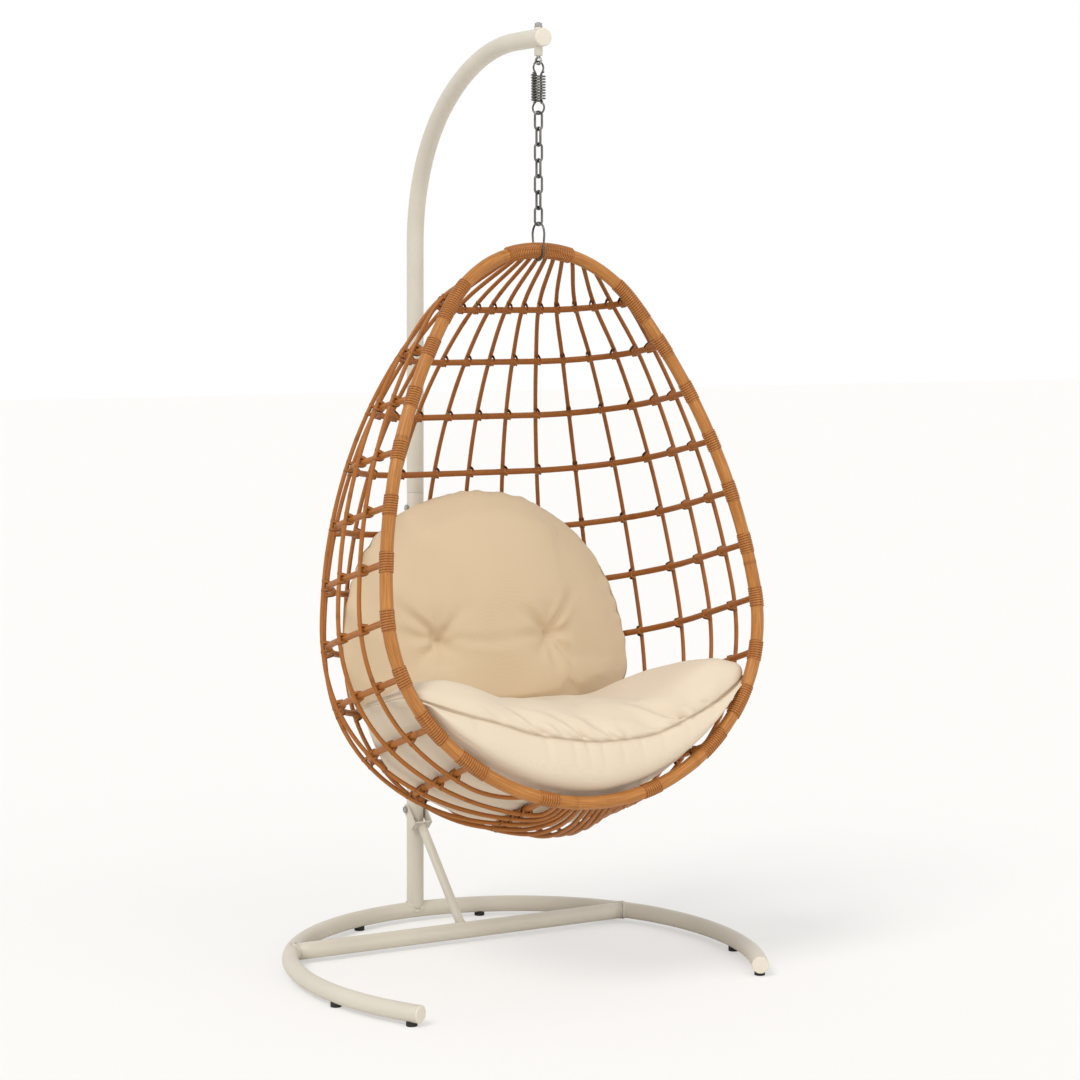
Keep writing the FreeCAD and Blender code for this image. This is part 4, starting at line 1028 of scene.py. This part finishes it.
def disc_grid(count):
    """Distance from the rim and angle of a disc's stations, its rim, and faces of two sheets that share it.

    A square's (a, b) goes to (a sqrt(1 - b^2 / 2), b sqrt(1 - a^2 / 2)). The sheets turn its distance e from
    the rim into r = cos(e pi / 2), which packs the stations near the rim, where a cushion is steep.
    """
    step = np.linspace(-1, 1, count)
    a, b = np.meshgrid(step, step)
    u, v = a * np.sqrt(1 - b * b / 2), b * np.sqrt(1 - a * a / 2)
    edge = 1 - np.minimum(np.hypot(u, v), 1)
    rim = (np.abs(a) == 1) | (np.abs(b) == 1)
    first = np.arange(count * count).reshape(count, count)
    second = first.copy()
    second[~rim] = count * count + np.arange((~rim).sum())
    faces = []
    for index, turn in ((first, 1), (second, -1)):
        quads = np.stack([index[:-1, :-1], index[:-1, 1:], index[1:, 1:], index[1:, :-1]], -1).reshape(-1, 4)
        faces += quads[:, ::turn].tolist()
    return edge, np.arctan2(v, u), rim, faces


def two_sheets(kind, front, back, edge, rim, faces):
    """Cushion from two sheets; edge is 0 at the seam and 1 in the middle, sheet is 0 in front."""
    inner = ~rim
    points = np.concatenate([front.reshape(-1, 3), back[inner]])
    edge = np.concatenate([edge.ravel(), edge[inner]])
    sheet = np.concatenate([np.zeros(rim.size), np.ones(inner.sum())])
    corners = points[np.array(faces)]
    volume = (np.cross(corners[:, 0], corners[:, 1]) * corners[:, 2]).sum()
    volume += (np.cross(corners[:, 0], corners[:, 2]) * corners[:, 3]).sum()
    if volume < 0:
        faces = [face[::-1] for face in faces]
    made = points, faces, {"edge": edge, "sheet": sheet, "crease_shade": np.zeros(len(points))}
    return put(f"{kind}_cushion_soft", made, kind, kind, f"{kind}_cushion")


def read(mesh, source, field, width):
    """Array of a mesh's values, with one row for each vertex."""
    values = np.empty(len(mesh.vertices) * width)
    source.foreach_get(field, values)
    return values.reshape(-1, width) if width > 1 else values


def stored(mesh, key):
    """Values of one of the mesh's attributes."""
    return read(mesh, mesh.attributes[key].data, "value", 1)


def inflated(piece, pressure, cap, held):
    """Cloth simulation with air inside: frames 1 to 20, no gravity, no point moves further than its cap."""
    mesh = piece.data
    start = read(mesh, mesh.vertices, "co", 3)
    group = piece.vertex_groups.new(name="held")
    for weight in np.unique(np.round(held, 1)):
        if weight > 0:
            group.add(np.nonzero(np.round(held, 1) == weight)[0].tolist(), float(weight), "REPLACE")
    settings = piece.modifiers.new("cloth", "CLOTH").settings
    for key, value in {"quality": 4, "mass": 0.3, "use_pressure": True, "uniform_pressure_force": pressure,
                       "tension_stiffness": 10, "compression_stiffness": 10, "bending_stiffness": 0.4,
                       "vertex_group_mass": "held"}.items():
        setattr(settings, key, value)
    settings.effector_weights.gravity = 0
    scene = bpy.context.scene
    for step in range(1, LAST_FRAME + 1):
        scene.frame_set(step)
    settled = piece.evaluated_get(bpy.context.evaluated_depsgraph_get()).data
    move = read(settled, settled.vertices, "co", 3) - start
    move *= np.minimum(1, cap[:, None] / np.maximum(np.linalg.norm(move, axis=1, keepdims=True), 1e-9))
    piece.modifiers.clear()
    piece.vertex_groups.clear()
    mesh.vertices.foreach_set("co", (start + move).ravel())
    mesh.update()
    scene.frame_set(1)


def subdivided(piece):
    """Finer mesh of the piece: one subdivision, applied before the seams and tufts are sewn in."""
    subdivision = piece.modifiers.new("subdivision", "SUBSURF")
    subdivision.levels = subdivision.render_levels = 1
    finish = piece.data.materials[0]
    bpy.context.view_layer.update()
    mesh = bpy.data.meshes.new_from_object(piece.evaluated_get(bpy.context.evaluated_depsgraph_get()))
    piece.modifiers.clear()
    piece.data = mesh
    mesh.materials.clear()
    mesh.materials.append(finish)
    mesh.polygons.foreach_set("use_smooth", np.ones(len(mesh.polygons), bool))


def cushion(kind, sheets, caps, pressure, pins=()):
    """Cushion, simulated and subdivided, its vertices, their edge values and 1 for those in front."""
    edge, angle, rim, faces = disc_grid(CUSHION_GRID)
    piece = two_sheets(kind, *sheets(edge, angle), edge, rim, faces)
    mesh = piece.data
    points = read(mesh, mesh.vertices, "co", 3)
    held = np.zeros(len(points))
    for pin in pins:
        held = np.maximum(held, np.clip(1.4 - np.linalg.norm(points - pin, axis=1) / 0.016, 0, 1))
    cap = np.where(stored(mesh, "sheet") > 0.5, *caps) * softstep(stored(mesh, "edge") / 0.4)
    inflated(piece, pressure, cap, held)
    subdivided(piece)
    mesh = piece.data
    return piece, read(mesh, mesh.vertices, "co", 3), stored(mesh, "edge"), 1 - stored(mesh, "sheet")


def furrow(away, wide):
    """Depth across a fold with a low roll on each side: exp(-(d / w)^2) - 0.4 exp(-((d - 2 w) / w)^2)."""
    return np.exp(-(away / wide) ** 2) - 0.4 * np.exp(-((away - 2 * wide) / wide) ** 2)


def fold(flat, start, end, width, depth):
    """Depth of a fold along a line: small at its start, deepest near a quarter of it, wider to its end."""
    run = np.subtract(end, start)
    t = np.clip((flat - start) @ run / (run @ run), 0, 1)
    away = np.linalg.norm(flat - start - t[:, None] * run, axis=1)
    return depth * (1 - t) ** 0.7 * (0.2 + 0.8 * softstep(t / 0.25)) * furrow(away, width * (0.6 + t))


def sewn(piece, press, dark):
    """Push the surface in along its normals, and store the painted shade of the seams and tufts."""
    mesh = piece.data
    points = read(mesh, mesh.vertices, "co", 3)
    normals = read(mesh, mesh.vertices, "normal", 3)
    mesh.vertices.foreach_set("co", (points - normals * press[:, None]).ravel())
    set_attribute(mesh, "crease_shade", np.clip(dark, 0, 1))
    mesh.update()


def rumple(points, height):
    """Gentle unevenness of a filled cushion: a few long waves that cross."""
    x, y, z = points.T
    return height * (np.sin(31 * x + 17 * z + 1.3) * np.sin(23 * z - 11 * x + 0.4)
                     + 0.6 * np.sin(47 * x - 29 * y) * np.sin(37 * z + 19 * y + 2.1))


def back_sheets(edge, angle):
    """Front and back of the dome-shaped pad, in the bowl's own places.

    The outline is a half ellipse above a rounded oblong. The depth is a thickness times (1 - r^2.8)^0.62,
    fuller below, thinner at the top and toward the sides. The low front also hangs down a little.
    """
    r = np.cos(edge * math.pi / 2)
    c, s = np.cos(angle), np.sin(angle)
    wide = 0.377 * np.sign(c) * np.abs(c) ** np.where(s > 0, 1.0, 0.62)
    tall = np.where(s > 0, 0.342 * np.abs(s) ** 0.98, -0.104 * np.abs(s) ** 0.62)
    reach, along = r * wide, BACK_ALONG - r * tall
    low = np.clip(-s, 0, 1)
    thick = 0.142 * (1 - r ** (2.8 + 5 * low)) ** (0.62 - 0.1 * low)
    thick = thick * (0.90 + 0.10 * np.clip((along - 0.63) / 0.22, 0, 1)) * (1 - 0.24 * (c * r) ** 2)
    back = bowl_point(along, reach, BACK_INSET - 0.0075 * (1 - r**6))
    front = bowl_point(along, reach, BACK_INSET + thick)
    front[..., 2] -= 0.024 * softstep(1.6 * low * r) * (1 - r**12)
    return front, back


# Right, up and depth of every fold that runs from a tuft, by the tuft's side
TUFT_FOLDS = {
    -1: ((-0.073, 0.064, 0.011), (-0.067, 0.012, 0.009), (0.045, 0.054, 0.006), (0.026, -0.024, 0.010),
         (-0.045, -0.040, 0.007), (0.120, -0.004, 0.0035), (0.012, -0.060, 0.004)),
    1: ((-0.058, 0.048, 0.010), (0.060, 0.066, 0.010), (0.050, 0.000, 0.009), (0.046, -0.052, 0.009),
        (0.004, -0.066, 0.006), (-0.120, -0.004, 0.0035), (-0.030, -0.040, 0.005)),
}


def make_back_cushion(sizes):
    """Back cushion: simulated, then its tufts, the folds that run from them and its puckered seam."""
    tufts = {hand: bowl_point(TUFT_ALONG, hand * TUFT_APART - 0.008, BACK_INSET + 0.118) for hand in (-1, 1)}
    piece, points, edge, face = cushion("back", back_sheets, (0.003, 0.007), sizes.pressure, tufts.values())
    flat = points[:, [0, 2]]
    press = np.zeros(len(points))
    dark = np.zeros(len(points))
    for hand, tuft in tufts.items():
        centre = tuft[[0, 2]]
        away = np.linalg.norm(flat - centre, axis=1)
        pit = 0.42 * np.exp(-(away / 0.020) ** 2) + 0.58 * np.exp(-(away / 0.060) ** 2)
        press += sizes.tuft_depth * pit
        # Painted shade in the middle of the tuft
        dark += 0.10 * np.exp(-(away / 0.006) ** 2)
        for right, up, depth in TUFT_FOLDS[hand]:
            press += fold(flat, centre, centre + (1.3 * right, 1.3 * up), 0.0085, depth)
    press += fold(flat, (-0.10, tufts[1][2] - 0.012), (0.11, tufts[1][2] - 0.010), 0.010, 0.002)
    press = press * face * softstep(edge / 0.3)
    turn = np.arctan2(points[:, 2] - 0.70, points[:, 0])
    pucker = np.sin(41 * turn + 2 * np.sin(7 * turn)) * (0.6 + 0.4 * np.sin(5 * turn + 1))
    press += 0.0022 * pucker * np.exp(-(edge / 0.10) ** 2) - rumple(points, 0.0016) * face
    seam = np.exp(-(edge / 0.012) ** 2)
    press += sizes.seam_depth * 0.45 * seam
    # Painted shade of the tufts and a painted shadow along the seam
    sewn(piece, press, dark * face + 0.75 * seam)


def floor_table():
    """Height of the bowl's inside under the seat, on a grid of half widths and places along Y.

    Each section of the bowl is a U, and a half width cuts its back or its corner in one point. The last point
    of a column is the hoop itself.
    """
    widths = np.linspace(0, 0.40, 81)
    places = np.linspace(-0.46, 0.14, 121)
    along = np.linspace(0.98, BOWL[-1, 0], 120)
    inset = INNER + CLEAR
    half, down, depth, corner, fall = section(along)
    table = []
    for width in widths:
        sine = np.clip((width - (half - corner)) / (corner - inset), 0, 1)
        met = width < half - inset - 0.0005
        d = depth - corner + (corner - inset) * np.sqrt(1 - sine**2)
        y = HOOP_TOP[1] + down * DOWN[1] + d * np.cos(fall)
        z = HOOP_TOP[2] + down * DOWN[2] - d * np.sin(fall)
        last = HOOP_TOP + DOWN * down[met][-1]
        y = np.append(y[met], last[1])[::-1]
        z = np.append(z[met], last[2] + POLE + CLEAR + 0.002)[::-1]
        order = np.argsort(y)
        table.append(np.interp(places, y[order], z[order]))
    return widths, places, np.array(table)


def bowl_floor(x, y):
    """Height of the bowl's inside, read from the table by linear steps both ways."""
    widths, places, table = floor_table()
    i = np.clip(np.abs(x) / widths[1], 0, len(widths) - 1.001)
    k = np.clip((y - places[0]) / (places[1] - places[0]), 0, len(places) - 1.001)
    a, b = i.astype(int), k.astype(int)
    i, k = i - a, k - b
    low = table[a, b] * (1 - k) + table[a, b + 1] * k
    high = table[a + 1, b] * (1 - k) + table[a + 1, b + 1] * k
    return low * (1 - i) + high * i


def seat_sheets(edge, angle):
    """Top and bottom of the half-moon pad whose two sides rise with the bowl.

    The outline is a squircle of the eighth power. The top is the seam's sheet plus a thickness times
    sqrt(1 - r^4), fuller in a lobe at each side and thinner in a dip before it, the right one deeper. The
    bottom falls from the seam's sheet to the bowl by sqrt(1 - r^20), and bellies forward under the front.
    """
    r = np.cos(edge * math.pi / 2)
    c, s = np.cos(angle), np.sin(angle)
    square = r / (np.abs(c) ** 8 + np.abs(s) ** 8) ** 0.125
    p, q = c * square, s * square
    far = (q + 1) / 2
    x = SEAT_HALF * p
    front_y, front_z = -0.407 + 0.046 * p**2, 0.519 + 0.097 * np.abs(p) ** 2.5
    front_z += 0.010 * softstep((np.abs(p) - 0.3) / 0.3) - np.where(p < 0, 0.018, 0.004) * np.sin(2.8 * p)
    rear_y, rear_z = 0.060 - 0.165 * p**2, 0.492 + 0.075 * p**2
    y = front_y + (rear_y - front_y) * far
    z = front_z + (rear_z - front_z) * far
    lobe = softstep((np.abs(p) - 0.5) / 0.3)
    dip = np.exp(-(((np.abs(p) - 0.45) / 0.16) ** 2)) * np.where(p > 0, 1, 0.35)
    thick = (0.067 - 0.018 * dip + (0.020 + 0.012 * p) * lobe) * (1 - 0.34 * far) * np.sqrt(1 - r**4)
    top = np.stack([x, y, z + thick], -1)
    floor = np.minimum(bowl_floor(x, y), z - 0.004)
    belly = 0.026 * np.clip(-q, 0, 1) * np.sin(np.clip(edge / 0.35, 0, 1) * math.pi)
    bottom = np.stack([x, y - belly, z - (z - floor) * np.sqrt(1 - r**20)], -1)
    return top, bottom


# Place, lean, reach and depth of every pleat above the seat's seam, and the places of the puckers below it
PLEATS = ((-0.205, -0.030, 0.20, 0.30), (-0.117, -0.052, 0.36, 0.85), (-0.070, -0.045, 0.26, 0.45),
          (-0.027, -0.060, 0.36, 0.85), (0.040, -0.055, 0.34, 0.75), (0.070, -0.035, 0.24, 0.45),
          (0.150, -0.040, 0.26, 0.40), (0.208, -0.075, 0.55, 1.25), (0.275, -0.030, 0.22, 0.40))
PUCKERS = (-0.27, -0.12, -0.06, -0.028, 0.005, 0.05, 0.097, 0.15, 0.21, 0.28)


def make_seat_cushion(sizes):
    """Seat cushion: simulated, then its seam, the pleats above it and the puckers below."""
    piece, points, edge, face = cushion("seat", seat_sheets, (0.005, 0.010), sizes.pressure)
    x, y, _ = points.T
    front = softstep((-0.12 - y) / 0.14)
    press = np.zeros(len(points))
    for place, lean, size, depth in PLEATS:
        t = np.clip(edge / size, 0, 1)
        shape = furrow(np.abs(x - place - lean * t), 0.0075 + 0.015 * t) * face * front
        press += depth * sizes.pleat_depth * (1 - t) ** 0.6 * softstep(0.25 + edge / 0.06) * shape
    for place in PUCKERS:
        t = np.clip(edge / 0.16, 0, 1)
        wide = 0.005 + 0.006 * t
        press += 0.003 * (1 - t) * np.exp(-((x - place - 0.004 * t) / wide) ** 2) * (1 - face) * front
    press -= rumple(points, 0.0022) * (0.3 + 0.7 * face)
    seam = np.exp(-(edge / 0.0075) ** 2)
    press += sizes.seam_depth * np.exp(-(edge / 0.016) ** 2)
    # Painted shadow along the seam
    sewn(piece, press, 0.62 * seam)


# Stage; a sun has its strength, its spread in degrees and its direction

CAMERA_PLACE = (-2.733, -5.041, 1.402)
CAMERA_TURN = -29.27
IMAGE = 1080
FOCAL_PIXELS = 2715
HORIZON_PIXEL = 295
FLOOR_HALF = 30
CAMERA_WHITE = 0.42
SUNS = {"key": (1.3, 22, (0.60, 0.26, -0.72)), "fill": (0.9, 70, (-0.16, 0.90, -0.34))}


def make_camera(scene):
    """Camera at the photograph's viewing angle, level, with its frame shifted down."""
    data = bpy.data.cameras.new("camera")
    camera = bpy.data.objects.new("camera", data)
    scene.collection.objects.link(camera)
    camera.location = CAMERA_PLACE
    camera.rotation_euler = (math.radians(90), 0, math.radians(CAMERA_TURN))
    data.sensor_width = 36
    data.lens = FOCAL_PIXELS / IMAGE * data.sensor_width
    data.shift_y = (HORIZON_PIXEL - IMAGE / 2) / IMAGE
    data.clip_end = 100
    scene.camera = camera


def make_floor(scene):
    """Plain pale floor; seen from the camera it is partly its own white, so the shadow stays faint."""
    mesh = bpy.data.meshes.new("floor")
    corners = [(x * FLOOR_HALF, y * FLOOR_HALF, 0) for x, y in ((-1, -1), (1, -1), (1, 1), (-1, 1))]
    mesh.from_pydata(corners, [], [[0, 1, 2, 3]])
    floor = bpy.data.objects.new("floor", mesh)
    scene.collection.objects.link(floor)
    material, tree, shader = tree_of("floor_white")
    feed(tree, shader, {"Base Color": (0.90, 0.888, 0.87, 1), "Roughness": 0.9, "Specular IOR Level": 0.2})
    white = add(tree, "ShaderNodeEmission", {"Color": (1, 1, 1, 1), "Strength": 1.0})
    rays = add(tree, "ShaderNodeLightPath")
    share = ramp(tree, rays.outputs["Is Camera Ray"], 0.0, 1.0, CAMERA_WHITE)
    mix = add(tree, "ShaderNodeMixShader", {0: share, 1: shader.outputs[0], 2: white.outputs[0]})
    tree.links.new(mix.outputs[0], tree.nodes["Material Output"].inputs["Surface"])
    mesh.materials.append(material)


def make_light(scene):
    """Soft studio light: an even room, a wide key from the left and a fill from the front."""
    world = bpy.data.worlds.new("studio")
    scene.world = world
    world.use_nodes = True
    tree = world.node_tree
    room = feed(tree, tree.nodes["Background"], {"Color": (1.0, 0.992, 0.98, 1), "Strength": 0.68})
    white = add(tree, "ShaderNodeBackground", {"Color": (1, 1, 1, 1), "Strength": 1.0})
    rays = add(tree, "ShaderNodeLightPath").outputs
    seen = rays["Is Camera Ray"]
    for kind in ("Is Glossy Ray", "Is Transmission Ray"):
        seen = add(tree, "ShaderNodeMath", {0: seen, 1: rays[kind]}, operation="MAXIMUM").outputs[0]
    mix = add(tree, "ShaderNodeMixShader", {0: seen, 1: room.outputs[0], 2: white.outputs[0]})
    tree.links.new(mix.outputs[0], tree.nodes["World Output"].inputs["Surface"])
    for name, (energy, spread, toward) in SUNS.items():
        light = bpy.data.lights.new(name, "SUN")
        light.energy = energy
        light.angle = math.radians(spread)
        light.color = (1.0, 0.98, 0.95)
        lamp = bpy.data.objects.new(name, light)
        lamp.rotation_euler = Vector(toward).to_track_quat("-Z", "Y").to_euler()
        scene.collection.objects.link(lamp)
    scene.view_settings.view_transform = "Standard"


# Operators


class EGGCHAIR_OT_finishes(bpy.types.Operator):
    """Make the rattan, canvas, paint, plastic, rubber and steel"""

    bl_idname = "egg_chair.finishes"
    bl_label = "Finishes"

    def execute(self, context):
        make_finishes(context.scene.egg_chair_colours)
        return {"FINISHED"}


class EGGCHAIR_OT_stage(bpy.types.Operator):
    """Make the floor, the light and the camera"""

    bl_idname = "egg_chair.stage"
    bl_label = "Stage"

    def execute(self, context):
        make_camera(context.scene)
        make_floor(context.scene)
        make_light(context.scene)
        return {"FINISHED"}


class EGGCHAIR_OT_base(bpy.types.Operator):
    """Make the base ring, its plugs and the cross bar"""

    bl_idname = "egg_chair.base"
    bl_label = "Base"

    def execute(self, context):
        make_base()
        return {"FINISHED"}


class EGGCHAIR_OT_post(bpy.types.Operator):
    """Make the post, the bent arm, its plug and its sleeve"""

    bl_idname = "egg_chair.post"
    bl_label = "Post and arm"

    def execute(self, context):
        make_post_and_arm()
        return {"FINISHED"}


class EGGCHAIR_OT_brace(bpy.types.Operator):
    """Make the brace between post and cross bar"""

    bl_idname = "egg_chair.brace"
    bl_label = "Brace"

    def execute(self, context):
        make_brace()
        return {"FINISHED"}


class EGGCHAIR_OT_welds(bpy.types.Operator):
    """Make the weld beads of the stand"""

    bl_idname = "egg_chair.welds"
    bl_label = "Weld beads"

    def execute(self, context):
        make_welds()
        return {"FINISHED"}


class EGGCHAIR_OT_fittings(bpy.types.Operator):
    """Finish the feet, the bracket, the bolts, the nuts and the washer"""

    bl_idname = "egg_chair.fittings"
    bl_label = "Fittings"

    def execute(self, context):
        make_fittings()
        return {"FINISHED"}


class EGGCHAIR_OT_eye_bolt(bpy.types.Operator):
    """Make the eye bolt"""

    bl_idname = "egg_chair.eye_bolt"
    bl_label = "Eye bolt"

    def execute(self, context):
        make_eye_bolt()
        return {"FINISHED"}


class EGGCHAIR_OT_spring(bpy.types.Operator):
    """Make the drawbar spring"""

    bl_idname = "egg_chair.spring"
    bl_label = "Spring"

    def execute(self, context):
        make_spring()
        return {"FINISHED"}


class EGGCHAIR_OT_chain(bpy.types.Operator):
    """Make the links of the chain"""

    bl_idname = "egg_chair.chain"
    bl_label = "Chain"

    def execute(self, context):
        make_chain(context.scene.egg_chair_sizes)
        return {"FINISHED"}


class EGGCHAIR_OT_hanger(bpy.types.Operator):
    """Make the wire hanger"""

    bl_idname = "egg_chair.hanger"
    bl_label = "Hanger"

    def execute(self, context):
        make_hanger()
        return {"FINISHED"}


class EGGCHAIR_OT_hoop(bpy.types.Operator):
    """Make the bent pole of the hoop"""

    bl_idname = "egg_chair.hoop"
    bl_label = "Hoop"

    def execute(self, context):
        make_hoop()
        return {"FINISHED"}


class EGGCHAIR_OT_top_binding(bpy.types.Operator):
    """Wind the strip over the top of the hoop"""

    bl_idname = "egg_chair.top_binding"
    bl_label = "Top binding"

    def execute(self, context):
        make_top_binding(context.scene.egg_chair_sizes)
        return {"FINISHED"}


class EGGCHAIR_OT_rings(bpy.types.Operator):
    """Make the rings of the basket"""

    bl_idname = "egg_chair.rings"
    bl_label = "Rings"

    def execute(self, context):
        make_rings()
        return {"FINISHED"}


class EGGCHAIR_OT_ring_bindings(bpy.types.Operator):
    """Wind the strips over the rings' ends"""

    bl_idname = "egg_chair.ring_bindings"
    bl_label = "Ring bindings"

    def execute(self, context):
        make_ring_bindings(context.scene.egg_chair_sizes)
        return {"FINISHED"}


class EGGCHAIR_OT_lashings(bpy.types.Operator):
    """Lash every crossing of a ring and a rib"""

    bl_idname = "egg_chair.lashings"
    bl_label = "Lashings"

    def execute(self, context):
        make_lashings(context.scene.egg_chair_sizes)
        return {"FINISHED"}


class EGGCHAIR_OT_ribs(bpy.types.Operator):
    """Make the ribs of the basket"""

    bl_idname = "egg_chair.ribs"
    bl_label = "Ribs"

    def execute(self, context):
        make_ribs()
        return {"FINISHED"}


class EGGCHAIR_OT_seat_cushion(bpy.types.Operator):
    """Make the seat cushion"""

    bl_idname = "egg_chair.seat_cushion"
    bl_label = "Seat cushion"

    def execute(self, context):
        make_seat_cushion(context.scene.egg_chair_sizes)
        return {"FINISHED"}


class EGGCHAIR_OT_back_cushion(bpy.types.Operator):
    """Make the back cushion with its two tufts"""

    bl_idname = "egg_chair.back_cushion"
    bl_label = "Back cushion"

    def execute(self, context):
        make_back_cushion(context.scene.egg_chair_sizes)
        return {"FINISHED"}


STEPS = (EGGCHAIR_OT_finishes, EGGCHAIR_OT_stage, EGGCHAIR_OT_base, EGGCHAIR_OT_post, EGGCHAIR_OT_brace,
         EGGCHAIR_OT_welds, EGGCHAIR_OT_fittings, EGGCHAIR_OT_eye_bolt, EGGCHAIR_OT_spring, EGGCHAIR_OT_chain,
         EGGCHAIR_OT_hanger, EGGCHAIR_OT_hoop, EGGCHAIR_OT_top_binding, EGGCHAIR_OT_rings,
         EGGCHAIR_OT_ring_bindings, EGGCHAIR_OT_lashings, EGGCHAIR_OT_ribs, EGGCHAIR_OT_seat_cushion,
         EGGCHAIR_OT_back_cushion)


class EGGCHAIR_PT_chair(bpy.types.Panel):
    """Sizes, colours and steps of the chair."""

    bl_idname = "EGGCHAIR_PT_chair"
    bl_label = "Egg Chair"
    bl_space_type = "VIEW_3D"
    bl_region_type = "UI"
    bl_category = "Egg Chair"

    def draw(self, context):
        for group in (context.scene.egg_chair_sizes, context.scene.egg_chair_colours):
            box = self.layout.box()
            for key in group.__annotations__:
                box.prop(group, key)
        for step in STEPS:
            self.layout.operator(step.bl_idname)


CLASSES = (EggChairSizes, EggChairColours, *STEPS, EGGCHAIR_PT_chair)


def register():
    """Add the classes and the two groups of settings."""
    for kind in CLASSES:
        bpy.utils.register_class(kind)
    bpy.types.Scene.egg_chair_sizes = bpy.props.PointerProperty(type=EggChairSizes)
    bpy.types.Scene.egg_chair_colours = bpy.props.PointerProperty(type=EggChairColours)


def unregister():
    """Take them away again."""
    del bpy.types.Scene.egg_chair_colours
    del bpy.types.Scene.egg_chair_sizes
    for kind in reversed(CLASSES):
        bpy.utils.unregister_class(kind)


def main():
    """Run every step."""
    register()
    for step in STEPS:
        getattr(bpy.ops.egg_chair, step.bl_idname.split(".")[1])()


if __name__ == "__main__":
    main()
